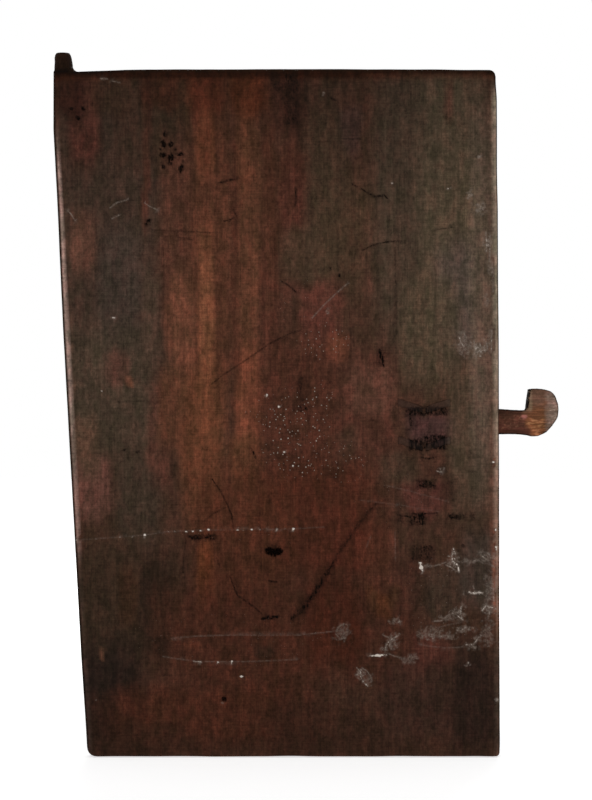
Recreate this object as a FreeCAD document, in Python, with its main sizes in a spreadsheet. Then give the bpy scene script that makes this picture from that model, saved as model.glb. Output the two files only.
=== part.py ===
import FreeCAD, Part
import Sketcher
import math
import os

# A granary door: one hewn plank that turns on a peg left standing at its top corner,
# with a wooden tumbler lock stapled to its outer face.
# Millimetres. The plank's inner face looks along -Y, the lock stands on the +Y face,
# +Z is up, and the origin is on the pivot peg's axis at the foot of its round bearing.

os.makedirs("parts", exist_ok=True)
doc = FreeCAD.newDocument("granary_door")

size_rows = [
    # door plank
    ("plank_thickness", 24.0, "inner face to outer face"),
    ("plank_height", 701.5, "top edge to bottom edge"),
    ("closing_edge_out", 443.4, "pivot axis to closing edge, at the top"),
    ("closing_edge_lean", 1.8, "how much further out the closing edge stands at the bottom"),
    ("hinge_edge_out", 9.7, "pivot axis to hinge edge, at the top"),
    ("hinge_edge_straight", 61.0, "upright run of the hinge edge under the top edge"),
    ("hinge_edge_taper", 35.7, "how far the hinge edge draws in towards the heel"),
    ("top_edge_drop", 3.6, "foot of the bearing down to the top edge"),
    ("shoulder_dip", 2.5, "extra drop of the top edge beside the peg"),
    ("shoulder_run", 64.0, "length of that dipped shoulder, from the pivot axis"),
    ("heel_corner_radius", 9.0, "worn bottom corner on the hinge side"),
    ("upper_corner_radius", 7.0, "top corner on the closing side"),
    ("lower_corner_radius", 4.0, "bottom corner on the closing side"),
    ("leaf_edge_radius", 2.0, "eased arrises of the plank"),
    # pivot peg, one piece with the plank
    ("pivot_radius", 9.0, "round bearing"),
    ("pivot_bearing_length", 10.0, "length of the round bearing"),
    ("pivot_dome_height", 5.3, "rounded end above the bearing"),
    ("pivot_flare", 0.5, "how much the foot of the peg swells"),
    ("pivot_root", 12.0, "depth of the round root inside the plank"),
    # shallow old slot in the inner face
    ("old_slot_across", 215.7, "pivot axis to the slot's middle"),
    ("old_slot_drop", 494.7, "foot of the bearing down to the slot's middle"),
    ("old_slot_length", 18.0, "along the width of the door"),
    ("old_slot_height", 7.0, "up and down"),
    ("old_slot_depth", 6.0, "into the plank"),
    # where the lock stands
    ("lock_inset", 74.4, "closing edge, at the top, back to the middle of the lock case"),
    ("bolt_drop", 363.0, "foot of the bearing down to the bolt's middle"),
    # bolt
    ("bolt_height", 26.6, "up and down"),
    ("bolt_thickness", 20.0, "away from the plank"),
    ("bolt_tail", 51.0, "middle of the case to the tail end, bolt thrown"),
    ("bolt_reach", 115.8, "middle of the case to the centre of the head, bolt thrown"),
    ("bolt_head_radius", 24.2, "D-shaped head"),
    ("head_flat_top", 6.0, "upper end of the head's flat, behind its centre"),
    ("head_flat_foot", 9.4, "where the flat meets the shank's top, behind the head's centre"),
    ("head_run_in", 8.2, "where the shank's underside runs into the head, behind its centre"),
    ("bolt_bevel", 1.2, "eased edges of the bolt"),
    ("bolt_gap", 0.3, "bolt to plank, a running gap"),
    ("channel_play", 0.4, "bolt to the other walls of its channel"),
    # lock case
    ("case_width", 66.0, "widest, at the belt that holds the bolt"),
    ("case_foot_width", 58.0, "across the foot"),
    ("case_top_width", 50.0, "across the shoulders of the rounded top"),
    ("case_belt", 30.0, "bolt's middle to each end of the widest part"),
    ("case_rise", 94.0, "bolt's middle to the top of the case"),
    ("case_fall", 78.0, "bolt's middle to the foot of the case"),
    ("case_crown", 13.0, "rise of the rounded top"),
    ("case_depth", 46.0, "away from the plank"),
    ("case_edge_radius", 4.5, "eased front edges"),
    # tumblers
    ("tumbler_width", 6.0, "along the bolt"),
    ("tumbler_depth", 10.0, "away from the plank"),
    ("tumbler_length", 26.0, "foot to top"),
    ("tumbler_nib", 3.0, "stands out in front of the shaft"),
    ("tumbler_nib_height", 5.0, "down from the tumbler's top"),
    ("tumbler_point", 1.2, "bevel round the tumbler's foot"),
    ("tumbler_pitch", 10.5, "spacing along the bolt"),
    ("tumbler_play", 0.5, "tumbler to each wall of its groove"),
    ("tumbler_lift_gap", 0.3, "lifted tumbler to the top of the bolt"),
    ("tumbler_drop", 10.0, "from lifted to locked"),
    ("tumbler_landing", 0.3, "dropped tumbler's nib to its step"),
    ("tumbler_headroom", 3.0, "lifted tumbler to the top of its groove"),
    # mortises and keyway, cut into the bolt from its back
    ("mortise_width", 8.0, "along the bolt"),
    ("mortise_depth", 10.0, "down from the top of the bolt to the keyway"),
    ("keyway_depth", 12.0, "away from the plank, the mortises alike"),
    ("keyway_height", 8.0, "up and down"),
    # iron staples that hold the case
    ("staple_iron", 5.5, "square bar"),
    ("staple_span", 48.0, "between the legs' middles"),
    ("staple_bend_radius", 4.0, "outside of the bends in front of the case"),
    ("staple_play", 0.2, "leg to each wall of its hole"),
    ("upper_staple_rise", 19.5, "bolt's middle to the upper staple"),
    ("lower_staple_fall", 19.0, "bolt's middle to the lower staple"),
    ("clinch_length", 22.5, "beaten end, from the leg's middle"),
    ("clinch_droop", 7.5, "how far the beaten end slants down"),
    ("clinch_tip_width", 7.5, "beaten flat at the tip"),
    ("clinch_thickness", 2.0, "beaten flat"),
    ("clinch_sink", 0.2, "beaten ends below the plank's inner face"),
    # cuts run past the faces that they open
    ("overrun", 1.0, "past each open face"),
]

tumbler_count = 4
least_cut = 1.0  # cubic millimetres that a cut has to take away at least
same_place = 1e-6  # millimetres within which two coordinates are one

size = doc.addObject("Spreadsheet::Sheet", "size")
for row, (alias, value, note) in enumerate(size_rows, start=1):
    size.set(f"A{row}", alias)
    size.set(f"B{row}", str(value))
    size.set(f"C{row}", note)
    size.setAlias(f"B{row}", alias)
doc.recompute()


def reading(expression):
    return float(size.evalExpression(expression))


# helpers: sketches whose corners are bound to the sheet

def origin_item(body, role):
    return [item for item in body.Origin.OriginFeatures if item.Role == role][0]


def sketch_on(body, role, name, lift="0"):
    # a sketch on one of the body's own origin planes, moved along its normal by lift
    sketch = body.newObject("Sketcher::SketchObject", name)
    sketch.AttachmentSupport = [(origin_item(body, role), "")]
    sketch.MapMode = "FlatFace"
    if lift != "0":
        sketch.setExpression("AttachmentOffset.Base.z", lift)
    return sketch


def bind(sketch, kind, where, expression):
    number = sketch.addConstraint(Sketcher.Constraint(kind, *where, reading(expression)))
    if expression != "0":
        sketch.setExpression(f"Constraints[{number}]", expression)


def arc_between(start, end, radius, long_way=False):
    # the arc that bulges to the right of the way from start to end
    chord = end - start
    half = chord.Length / 2
    side = FreeCAD.Vector(-chord.y, chord.x, 0).normalize()
    if long_way:
        side = -side
    centre = (start + end) / 2 + side * math.sqrt(radius * radius - half * half)
    first = math.atan2(start.y - centre.y, start.x - centre.x)
    last = math.atan2(end.y - centre.y, end.x - centre.x)
    return Part.ArcOfCircle(Part.Circle(centre, FreeCAD.Vector(0, 0, 1), radius), first, last)


def draw_outline(sketch, corners):
    # corners run anticlockwise, each (across, up); one that an arc leaves adds the arc's
    # radius, and then "long" if the arc is more than a half circle
    points = [FreeCAD.Vector(reading(across), reading(up), 0) for across, up, *arc in corners]
    first = sketch.GeometryCount
    for (across, up, *arc), start, end in zip(corners, points, points[1:] + points[:1]):
        if arc:
            curve = arc_between(start, end, reading(arc[0]), "long" in arc)
            sketch.addGeometry(curve, False)
        else:
            sketch.addGeometry(Part.LineSegment(start, end), False)
    for index in range(len(points)):
        following = first + (index + 1) % len(points)
        sketch.addConstraint(Sketcher.Constraint("Coincident", first + index, 2, following, 1))
    for index, (across, up, *arc) in enumerate(corners):
        bind(sketch, "DistanceX", (-1, 1, first + index, 1), across)
        bind(sketch, "DistanceY", (-1, 1, first + index, 1), up)
        if arc:
            bind(sketch, "Radius", (first + index,), arc[0])


def block(left, right, low, high):
    return [(left, low), (right, low), (right, high), (left, high)]


def pad(body, sketch, name, length, reverse=False, symmetric=False):
    feature = body.newObject("PartDesign::Pad", name)
    feature.Profile = sketch
    feature.setExpression("Length", length)
    feature.Reversed = reverse
    if symmetric:
        feature.SideType = "Symmetric"
    doc.recompute()
    return feature


def pocket(body, sketch, name, depth, reverse=False):
    before = body.Shape.Volume
    feature = body.newObject("PartDesign::Pocket", name)
    feature.Profile = sketch
    feature.setExpression("Length", depth)
    feature.Reversed = reverse
    doc.recompute()
    if body.Shape.Volume > before - least_cut:
        raise RuntimeError(f"{body.Label}: {name} cuts nothing")
    return feature


def row_of(body, feature, name, length):
    # repeats a cut along X, once for each tumbler
    before = body.Shape.Volume
    pattern = body.newObject("PartDesign::LinearPattern", name)
    pattern.Originals = [feature]
    pattern.Direction = (origin_item(body, "X_Axis"), [""])
    pattern.setExpression("Length", length)
    pattern.Occurrences = tumbler_count
    body.Tip = pattern
    doc.recompute()
    if body.Shape.Volume > before - least_cut:
        raise RuntimeError(f"{body.Label}: {name} repeats nothing")


def edges_at(feature, **places):
    # names of the edges whose vertices all have the given coordinates, such as y=12 and x=0
    names = []
    for number, edge in enumerate(feature.Shape.Edges, start=1):
        points = [vertex.Point for vertex in edge.Vertexes]
        if all(abs(getattr(point, axis) - value) < same_place
               for point in points for axis, value in places.items()):
            names.append(f"Edge{number}")
    return names


def ease(body, feature, name, edges, radius, kind="Fillet"):
    eased = body.newObject(f"PartDesign::{kind}", name)
    eased.Base = (feature, edges)
    eased.setExpression("Size" if kind == "Chamfer" else "Radius", radius)
    doc.recompute()
    return eased


def new_body(name, across="0", out="0", up="0"):
    body = doc.addObject("PartDesign::Body", name)
    body.Label = name
    for axis, expression in zip("xyz", (across, out, up)):
        if expression != "0":
            body.setExpression(f"Placement.Base.{axis}", expression)
    return body


# door plank, with its pivot peg, the legs' holes and the old slot

top_edge = "-size.top_edge_drop"
bottom_edge = "-(size.top_edge_drop + size.plank_height)"
hinge_edge = "-size.hinge_edge_out"
heel_corner = "size.hinge_edge_taper - size.hinge_edge_out"
closing_foot = "size.closing_edge_out + size.closing_edge_lean"
half_plank = "size.plank_thickness / 2"

plank = new_body("door_plank")
plank_face = sketch_on(plank, "XZ_Plane", "plank_face")
draw_outline(plank_face, [
    (heel_corner, bottom_edge),
    (closing_foot, bottom_edge),
    ("size.closing_edge_out", top_edge),
    ("size.shoulder_run", top_edge),
    (hinge_edge, "-(size.top_edge_drop + size.shoulder_dip)"),
    (hinge_edge, "-(size.top_edge_drop + size.hinge_edge_straight)"),
])
leaf = pad(plank, plank_face, "leaf", "size.plank_thickness", symmetric=True)
for name, across, up, radius in (
    ("heel_corner", heel_corner, bottom_edge, "size.heel_corner_radius"),
    ("lower_corner", closing_foot, bottom_edge, "size.lower_corner_radius"),
    ("upper_corner", "size.closing_edge_out", top_edge, "size.upper_corner_radius"),
):
    leaf = ease(plank, leaf, name, edges_at(leaf, x=reading(across), z=reading(up)), radius)
arrises = edges_at(leaf, y=reading(half_plank)) + edges_at(leaf, y=-reading(half_plank))
ease(plank, leaf, "leaf_arrises", arrises, "size.leaf_edge_radius")

peg_foot = "size.pivot_radius + size.pivot_flare"
peg_root = "-(size.top_edge_drop + size.pivot_root)"
dome_radius = "(size.pivot_radius ^ 2 + size.pivot_dome_height ^ 2) / (2 * size.pivot_dome_height)"
peg_profile = sketch_on(plank, "XZ_Plane", "peg_profile")
draw_outline(peg_profile, [
    ("0", peg_root),
    (peg_foot, peg_root),
    (peg_foot, "-(size.top_edge_drop + size.shoulder_dip)"),
    ("size.pivot_radius", "0"),
    ("size.pivot_radius", "size.pivot_bearing_length", dome_radius),
    ("0", "size.pivot_bearing_length + size.pivot_dome_height"),
])
pivot_peg = plank.newObject("PartDesign::Revolution", "pivot_peg")
pivot_peg.Profile = peg_profile
pivot_peg.ReferenceAxis = (origin_item(plank, "Z_Axis"), [""])
doc.recompute()

lock_across = "(size.closing_edge_out - size.lock_inset)"
half_leg_hole = "(size.staple_iron / 2 + size.staple_play)"
half_span = "size.staple_span / 2"
staple_rises = {"upper_staple": "size.upper_staple_rise", "lower_staple": "-size.lower_staple_fall"}


def leg_holes(sketch, middle, rise):
    # the two square holes of one staple, seen along its legs
    for side in "-+":
        centre = f"{middle} {side} {half_span}"
        draw_outline(sketch, block(
            f"{centre} - {half_leg_hole}", f"{centre} + {half_leg_hole}",
            f"{rise} - {half_leg_hole}", f"{rise} + {half_leg_hole}"))


def clinches(sketch, middle, rise, play="0"):
    # the two beaten ends of one staple, which slant down towards each other
    root = f"({half_span} + size.staple_iron / 2 + {play})"
    tip = f"({half_span} - size.clinch_length - {play})"
    root_half = f"(size.staple_iron / 2 + {play})"
    tip_half = f"(size.clinch_tip_width / 2 + {play})"
    tip_rise = f"{rise} - size.clinch_droop"
    draw_outline(sketch, [
        (f"{middle} - {root}", f"{rise} - {root_half}"),
        (f"{middle} - {tip}", f"{tip_rise} - {tip_half}"),
        (f"{middle} - {tip}", f"{tip_rise} + {tip_half}"),
        (f"{middle} - {root}", f"{rise} + {root_half}"),
    ])
    draw_outline(sketch, [
        (f"{middle} + {tip}", f"{tip_rise} - {tip_half}"),
        (f"{middle} + {root}", f"{rise} - {root_half}"),
        (f"{middle} + {root}", f"{rise} + {root_half}"),
        (f"{middle} + {tip}", f"{tip_rise} + {tip_half}"),
    ])


for name, rise in staple_rises.items():
    up = f"(-size.bolt_drop + {rise})"
    holes = sketch_on(plank, "XZ_Plane", f"{name}_holes", half_plank)
    leg_holes(holes, lock_across, up)
    pocket(plank, holes, f"{name}_leg_holes", "size.plank_thickness + size.overrun")
    seats = sketch_on(plank, "XZ_Plane", f"{name}_seats", half_plank)
    clinches(seats, lock_across, up, "size.staple_play")
    pocket(plank, seats, f"{name}_clinch_seats", "size.clinch_thickness + size.clinch_sink")

old_slot = sketch_on(plank, "XZ_Plane", "old_slot_outline", half_plank)
draw_outline(old_slot, block(
    "size.old_slot_across - size.old_slot_length / 2",
    "size.old_slot_across + size.old_slot_length / 2",
    "-size.old_slot_drop - size.old_slot_height / 2",
    "-size.old_slot_drop + size.old_slot_height / 2"))
pocket(plank, old_slot, "old_slot", "size.old_slot_depth")


# the lock's pieces share a frame: middle of the case, outer face of the plank, bolt's middle

lock_frame = {"across": lock_across, "out": half_plank, "up": "-size.bolt_drop"}
bolt_top = "(size.bolt_height / 2)"
first_tumbler = f"(-{tumbler_count - 1} / 2 * size.tumbler_pitch)"
tumbler_row = f"{tumbler_count - 1} * size.tumbler_pitch"
tumbler_foot = f"({bolt_top} + size.tumbler_lift_gap)"
tumbler_top = f"({tumbler_foot} + size.tumbler_length)"
nib_foot = f"({tumbler_top} - size.tumbler_nib_height)"


# lock case: a waisted block with a rounded top, cut from behind for bolt and tumblers

case = new_body("lock_case", **lock_frame)
case_face = sketch_on(case, "XZ_Plane", "case_face")
case_shoulder = "size.case_rise - size.case_crown"
crown_radius = "(size.case_top_width ^ 2 / 4 + size.case_crown ^ 2) / (2 * size.case_crown)"
draw_outline(case_face, [
    ("-size.case_foot_width / 2", "-size.case_fall"),
    ("size.case_foot_width / 2", "-size.case_fall"),
    ("size.case_width / 2", "-size.case_belt"),
    ("size.case_width / 2", "size.case_belt"),
    ("size.case_top_width / 2", case_shoulder, crown_radius),
    ("-size.case_top_width / 2", case_shoulder),
    ("-size.case_width / 2", "size.case_belt"),
    ("-size.case_width / 2", "-size.case_belt"),
])
case_block = pad(case, case_face, "case_block", "size.case_depth", reverse=True)
front_edges = edges_at(case_block, y=reading("size.case_depth"))
ease(case, case_block, "case_front_edges", front_edges, "size.case_edge_radius")

channel_end = sketch_on(case, "YZ_Plane", "channel_end", "-(size.case_width / 2 + size.overrun)")
half_channel = f"({bolt_top} + size.channel_play)"
draw_outline(channel_end, block(
    "-size.overrun", "size.bolt_gap + size.bolt_thickness + size.channel_play",
    f"-{half_channel}", half_channel))
pocket(case, channel_end, "bolt_channel", "size.case_width + 2 * size.overrun", reverse=True)

groove_width = "(size.tumbler_width + 2 * size.tumbler_play)"
groove_front = "(size.tumbler_depth + 2 * size.tumbler_play)"
nib_step = f"({nib_foot} - size.tumbler_drop - size.tumbler_landing)"
groove_top = f"({tumbler_top} + size.tumbler_headroom)"
groove_side = sketch_on(case, "YZ_Plane", "groove_side", f"{first_tumbler} - {groove_width} / 2")
draw_outline(groove_side, [
    ("-size.overrun", bolt_top),
    (groove_front, bolt_top),
    (groove_front, nib_step),
    (f"{groove_front} + size.tumbler_nib", nib_step),
    (f"{groove_front} + size.tumbler_nib", groove_top),
    ("-size.overrun", groove_top),
])
groove = pocket(case, groove_side, "first_groove", groove_width, reverse=True)
row_of(case, groove, "tumbler_grooves", tumbler_row)

for name, rise in staple_rises.items():
    holes = sketch_on(case, "XZ_Plane", f"case_{name}_holes")
    leg_holes(holes, "0", rise)
    pocket(case, holes, f"case_{name}_legs", "size.case_depth + size.overrun")


# staples: square iron bar across the case, its legs clinched behind the plank

leg_outer = f"({half_span} + size.staple_iron / 2)"
leg_inner = f"({half_span} - size.staple_iron / 2)"
leg_end = "-(size.plank_thickness - size.clinch_sink)"
crown_front = "(size.case_depth + size.staple_iron)"
bend_start = f"{crown_front} - size.staple_bend_radius"
bend_side = f"({leg_outer} - size.staple_bend_radius)"

for name, rise in staple_rises.items():
    staple = new_body(name, lock_frame["across"], lock_frame["out"], f"{lock_frame['up']} + {rise}")
    bar = sketch_on(staple, "XY_Plane", f"{name}_bar")
    draw_outline(bar, [
        (f"-{leg_outer}", leg_end),
        (f"-{leg_inner}", leg_end),
        (f"-{leg_inner}", "size.case_depth"),
        (leg_inner, "size.case_depth"),
        (leg_inner, leg_end),
        (leg_outer, leg_end),
        (leg_outer, bend_start, "size.staple_bend_radius"),
        (bend_side, crown_front),
        (f"-{bend_side}", crown_front, "size.staple_bend_radius"),
        (f"-{leg_outer}", bend_start),
    ])
    pad(staple, bar, f"{name}_legs_and_crown", "size.staple_iron", symmetric=True)
    beaten = sketch_on(staple, "XZ_Plane", f"{name}_beaten_ends", f"-({leg_end})")
    clinches(beaten, "0", "0")
    pad(staple, beaten, f"{name}_clinches", "size.clinch_thickness", reverse=True)


# bolt, thrown: plain shank, D-shaped head, and behind it a row of mortises over the keyway

head_rise = f"(sqrt(size.bolt_head_radius ^ 2 - size.head_run_in ^ 2) - {bolt_top})"
flat_top_rise = f"{head_rise} + sqrt(size.bolt_head_radius ^ 2 - size.head_flat_top ^ 2)"

bolt = new_body("lock_bolt", **lock_frame)
bolt_side = sketch_on(bolt, "XZ_Plane", "bolt_side", "-size.bolt_gap")
draw_outline(bolt_side, [
    ("-size.bolt_tail", f"-{bolt_top}"),
    ("size.bolt_reach - size.head_run_in", f"-{bolt_top}", "size.bolt_head_radius", "long"),
    ("size.bolt_reach - size.head_flat_top", flat_top_rise),
    ("size.bolt_reach - size.head_flat_foot", bolt_top),
    ("-size.bolt_tail", bolt_top),
])
bolt_board = pad(bolt, bolt_side, "bolt_board", "size.bolt_thickness", reverse=True)
bolt_back = reading("size.bolt_gap")
bolt_front = reading("size.bolt_gap + size.bolt_thickness")
bolt_arrises = edges_at(bolt_board, y=bolt_back) + edges_at(bolt_board, y=bolt_front)
ease(bolt, bolt_board, "bolt_arrises", bolt_arrises, "size.bolt_bevel", kind="Chamfer")

keyway_front = "size.bolt_gap + size.keyway_depth"
mortise_mouth = sketch_on(bolt, "XY_Plane", "mortise_mouth", bolt_top)
draw_outline(mortise_mouth, block(
    f"{first_tumbler} - size.mortise_width / 2", f"{first_tumbler} + size.mortise_width / 2",
    "size.bolt_gap - size.overrun", keyway_front))
mortise = pocket(bolt, mortise_mouth, "first_mortise", "size.mortise_depth")
row_of(bolt, mortise, "tumbler_mortises", tumbler_row)

keyway_top = f"({bolt_top} - size.mortise_depth)"
keyway_mouth = sketch_on(bolt, "YZ_Plane", "keyway_mouth", "-size.bolt_tail")
draw_outline(keyway_mouth, block(
    "size.bolt_gap - size.overrun", keyway_front,
    f"{keyway_top} - size.keyway_height", keyway_top))
keyway_length = f"size.bolt_tail - {first_tumbler} + size.mortise_width / 2"
pocket(bolt, keyway_mouth, "keyway", keyway_length, reverse=True)


# tumblers: flat wooden pegs, held up just clear of the bolt; a nib in front lands on the step

tumbler_front = "(size.tumbler_play + size.tumbler_depth)"
for number in range(1, tumbler_count + 1):
    place = f"{lock_frame['across']} + {first_tumbler} + {number - 1} * size.tumbler_pitch"
    tumbler = new_body(f"tumbler_pin_{number}", place, lock_frame["out"], lock_frame["up"])
    side = sketch_on(tumbler, "YZ_Plane", f"tumbler_side_{number}")
    draw_outline(side, [
        ("size.tumbler_play", tumbler_foot),
        (tumbler_front, tumbler_foot),
        (tumbler_front, nib_foot),
        (f"{tumbler_front} + size.tumbler_nib", nib_foot),
        (f"{tumbler_front} + size.tumbler_nib", tumbler_top),
        ("size.tumbler_play", tumbler_top),
    ])
    peg = pad(tumbler, side, f"tumbler_peg_{number}", "size.tumbler_width", symmetric=True)
    ease(tumbler, peg, f"tumbler_point_{number}", edges_at(peg, z=reading(tumbler_foot)),
         "size.tumbler_point", kind="Chamfer")


# every object is checked before a file is written

doc.recompute()
for item in doc.Objects:
    if "Invalid" in item.State or "Error" in item.State:
        raise RuntimeError(f"{item.Name} failed: {item.State}")

bodies = [item for item in doc.Objects if item.TypeId == "PartDesign::Body"]
for body in bodies:
    shape = body.Shape
    if shape.isNull() or not shape.isValid() or len(shape.Solids) != 1:
        raise RuntimeError(f"{body.Label} isn't one sound solid")
    print(f"{body.Label}: {shape.Volume:.0f} mm3, {len(shape.Faces)} faces")

for body in bodies:
    body.Shape.exportStep(f"parts/{body.Label}.step")
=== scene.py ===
import bpy
import math
import numpy as np
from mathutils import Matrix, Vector, noise


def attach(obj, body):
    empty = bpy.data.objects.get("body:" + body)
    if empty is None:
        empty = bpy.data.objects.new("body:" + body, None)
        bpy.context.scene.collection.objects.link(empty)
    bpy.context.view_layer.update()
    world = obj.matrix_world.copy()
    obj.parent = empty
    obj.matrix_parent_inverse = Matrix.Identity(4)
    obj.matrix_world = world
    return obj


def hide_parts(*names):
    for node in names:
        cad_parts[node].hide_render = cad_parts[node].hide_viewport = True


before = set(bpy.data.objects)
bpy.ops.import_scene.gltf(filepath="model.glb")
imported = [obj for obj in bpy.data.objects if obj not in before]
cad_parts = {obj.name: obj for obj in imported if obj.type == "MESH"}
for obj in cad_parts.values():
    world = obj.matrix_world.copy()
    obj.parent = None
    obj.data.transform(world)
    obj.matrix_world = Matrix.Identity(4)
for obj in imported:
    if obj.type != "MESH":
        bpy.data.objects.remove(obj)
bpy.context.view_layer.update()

scene = bpy.context.scene
scene.view_settings.view_transform = "Standard"

# millimetres on the leaf for one pixel of the photograph, and the pixel of the frame's origin
photoScale = {"pixel": 1.02, "across": 62.5, "down": 66.0}
weld = 1e-6           # metres within which two corners are one


def mm(value):
    return value / 1000.0


def onFace(across, down):
    # a place read on the photograph, in its pixels, to millimetres on the leaf
    scale = photoScale
    return (across - scale["across"]) * scale["pixel"], (scale["down"] - down) * scale["pixel"]


def linear(hexColour):
    channels = [int(hexColour[i:i + 2], 16) / 255 for i in (1, 3, 5)]
    return tuple(c / 12.92 if c <= 0.04045 else ((c + 0.055) / 1.055) ** 2.4 for c in channels)


def smooth(low, high, value):
    t = np.clip((np.asarray(value, float) - low) / (high - low), 0.0, 1.0)
    return t * t * (3 - 2 * t)


def only(piece):
    if bpy.context.object and bpy.context.object.mode != "OBJECT":
        bpy.ops.object.mode_set(mode="OBJECT")
    bpy.ops.object.select_all(action="DESELECT")
    piece.select_set(True)
    bpy.context.view_layer.objects.active = piece
    return piece


def editAll(piece):
    # edit mode with all of the piece selected
    only(piece)
    bpy.ops.object.mode_set(mode="EDIT")
    bpy.ops.mesh.select_all(action="SELECT")


def leaveEdit():
    bpy.ops.object.mode_set(mode="OBJECT")


def settle(piece):
    # the place, turn and scale go into the mesh
    only(piece)
    bpy.ops.object.transform_apply(location=True, rotation=True, scale=True)
    return piece


def block(name, low, high):
    # a cube between two corners given in millimetres
    bpy.ops.object.select_all(action="DESELECT")
    bpy.ops.mesh.primitive_cube_add(size=1, location=[mm((a + b) / 2) for a, b in zip(low, high)])
    piece = bpy.context.object
    piece.name = name
    piece.scale = [mm(b - a) for a, b in zip(low, high)]
    return settle(piece)


def pick(piece, kind, test):
    # selects faces or edges by a test of their middle and normal, or of their two ends
    only(piece)
    bpy.ops.object.mode_set(mode="EDIT")
    bpy.ops.mesh.select_mode(type="FACE" if kind == "faces" else "EDGE")
    bpy.ops.mesh.select_all(action="DESELECT")
    leaveEdit()
    mesh = piece.data
    if kind == "faces":
        for face in mesh.polygons:
            face.select = bool(test(face.center, face.normal))
    else:
        for edge in mesh.edges:
            edge.select = bool(test(*[mesh.vertices[v].co for v in edge.vertices]))
    bpy.ops.object.mode_set(mode="EDIT")


def finishMesh(piece):
    # doubles merged and faces outwards
    editAll(piece)
    bpy.ops.mesh.remove_doubles(threshold=weld)
    bpy.ops.mesh.normals_make_consistent(inside=False)
    leaveEdit()


def modify(piece, kind, **settings):
    only(piece)
    modifier = piece.modifiers.new(kind.lower(), kind)
    for name, value in settings.items():
        setattr(modifier, name, value)
    bpy.ops.object.modifier_apply(modifier=modifier.name)


def breakEdges(piece, width, segments=2):
    # a small bevel on every edge that turns by more than 50 degrees
    modify(piece, "BEVEL", width=mm(width), segments=segments, limit_method="ANGLE",
           angle_limit=math.radians(50))


def carve(piece, tool, way="DIFFERENCE"):
    modify(piece, "BOOLEAN", operation=way, object=tool, solver="EXACT")
    bpy.data.objects.remove(tool, do_unlink=True)


def sliceOff(piece, point, outward):
    # cuts away what lies beyond a plane and closes the cut
    editAll(piece)
    bpy.ops.mesh.bisect(plane_co=[mm(v) for v in point], plane_no=outward, use_fill=True,
                        clear_outer=True, clear_inner=False)
    leaveEdit()


def places(piece):
    flat = np.empty(len(piece.data.vertices) * 3)
    piece.data.vertices.foreach_get("co", flat)
    return flat.reshape(-1, 3) * 1000.0


def putBack(piece, points):
    piece.data.vertices.foreach_set("co", (points / 1000.0).ravel())
    piece.data.update()


def vertexNormals(piece):
    flat = np.empty(len(piece.data.vertices) * 3)
    piece.data.vertices.foreach_get("normal", flat)
    return flat.reshape(-1, 3)


def wander(points, size, seed=0.0, octaves=1):
    # soft noise of about -1 to 1, sizes in millimetres along x, y and z
    size = np.asarray(size, float)
    out = np.empty(len(points))
    for i, p in enumerate(points / size):
        at = Vector((p[0] + seed, p[1] - seed * 0.7, p[2] + seed * 1.3))
        out[i] = noise.fractal(at, 0.8, 2.0, octaves) if octaves > 1 else noise.noise(at)
    return out


def scallops(points, size, seed=0.0):
    # shallow dishes with ridges between, as an adze leaves: 0 in a dish's middle, 1 on a ridge
    size = np.asarray(size, float)
    out = np.empty(len(points))
    for i, p in enumerate(points / size):
        near = noise.voronoi(Vector((p[0] + seed, p[1] + seed, p[2] - seed)))[0]
        out[i] = min(1.0, near[0] / max(near[1], 1e-6))
    return out


def uneven(points, layer):
    # a depth that comes and goes, from 0 to about twice itself: depth, noise sizes, seed, octaves
    depth, size, seed, octaves = layer
    return depth * (1 + wander(points, size, seed, octaves))


def blend(tone, share, colour):
    # a hex colour, or one colour for each point, laid over a tone by a share of 0 to 1
    share = np.clip(share, 0, 1)[:, None]
    over = np.array(linear(colour)) if isinstance(colour, str) else colour
    return tone * (1 - share) + over * share


def plainTone(points, colour):
    return np.tile(linear(colour), (len(points), 1))


def paint(piece, name, values):
    kind = "FLOAT_COLOR" if values.ndim == 2 else "FLOAT"
    layer = piece.data.attributes.new(name, kind, "POINT")
    if values.ndim == 2:
        full = np.concatenate([values, np.ones((len(values), 1))], axis=1)
        layer.data.foreach_set("color", full.ravel())
    else:
        layer.data.foreach_set("value", values)


def hand(piece, body, node, material, angle=50):
    # the finished piece takes its node's place on its body
    piece.data.materials.append(material)
    only(piece)
    bpy.ops.object.shade_smooth_by_angle(angle=math.radians(angle))
    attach(piece, body)
    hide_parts(node)
    print(piece.name, len(piece.data.polygons), "faces")


def addNode(tree, kind, settings=None, links=None, stops=None):
    # one shader node with its settings, what feeds its inputs and the stops of a ramp
    node = tree.nodes.new("ShaderNode" + kind)
    for name, value in (settings or {}).items():
        if isinstance(value, str) and value.startswith("#"):
            value = (*linear(value), 1.0)
        if isinstance(name, str) and name in node.bl_rna.properties:
            setattr(node, name, value)
        else:
            node.inputs[name].default_value = value
    for name, source in (links or {}).items():
        socket = source.outputs[0] if isinstance(source, bpy.types.Node) else source
        tree.links.new(socket, node.inputs[name])
    for n, (place, colour) in enumerate(stops or ()):
        elements = node.color_ramp.elements
        element = elements[n] if n < 2 else elements.new(place)
        element.position = place
        element.color = (*linear(colour), 1.0)
    return node


def newMaterial(name):
    material = bpy.data.materials.new(name)
    material.use_nodes = True
    material.node_tree.nodes.clear()
    return material, material.node_tree


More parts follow.
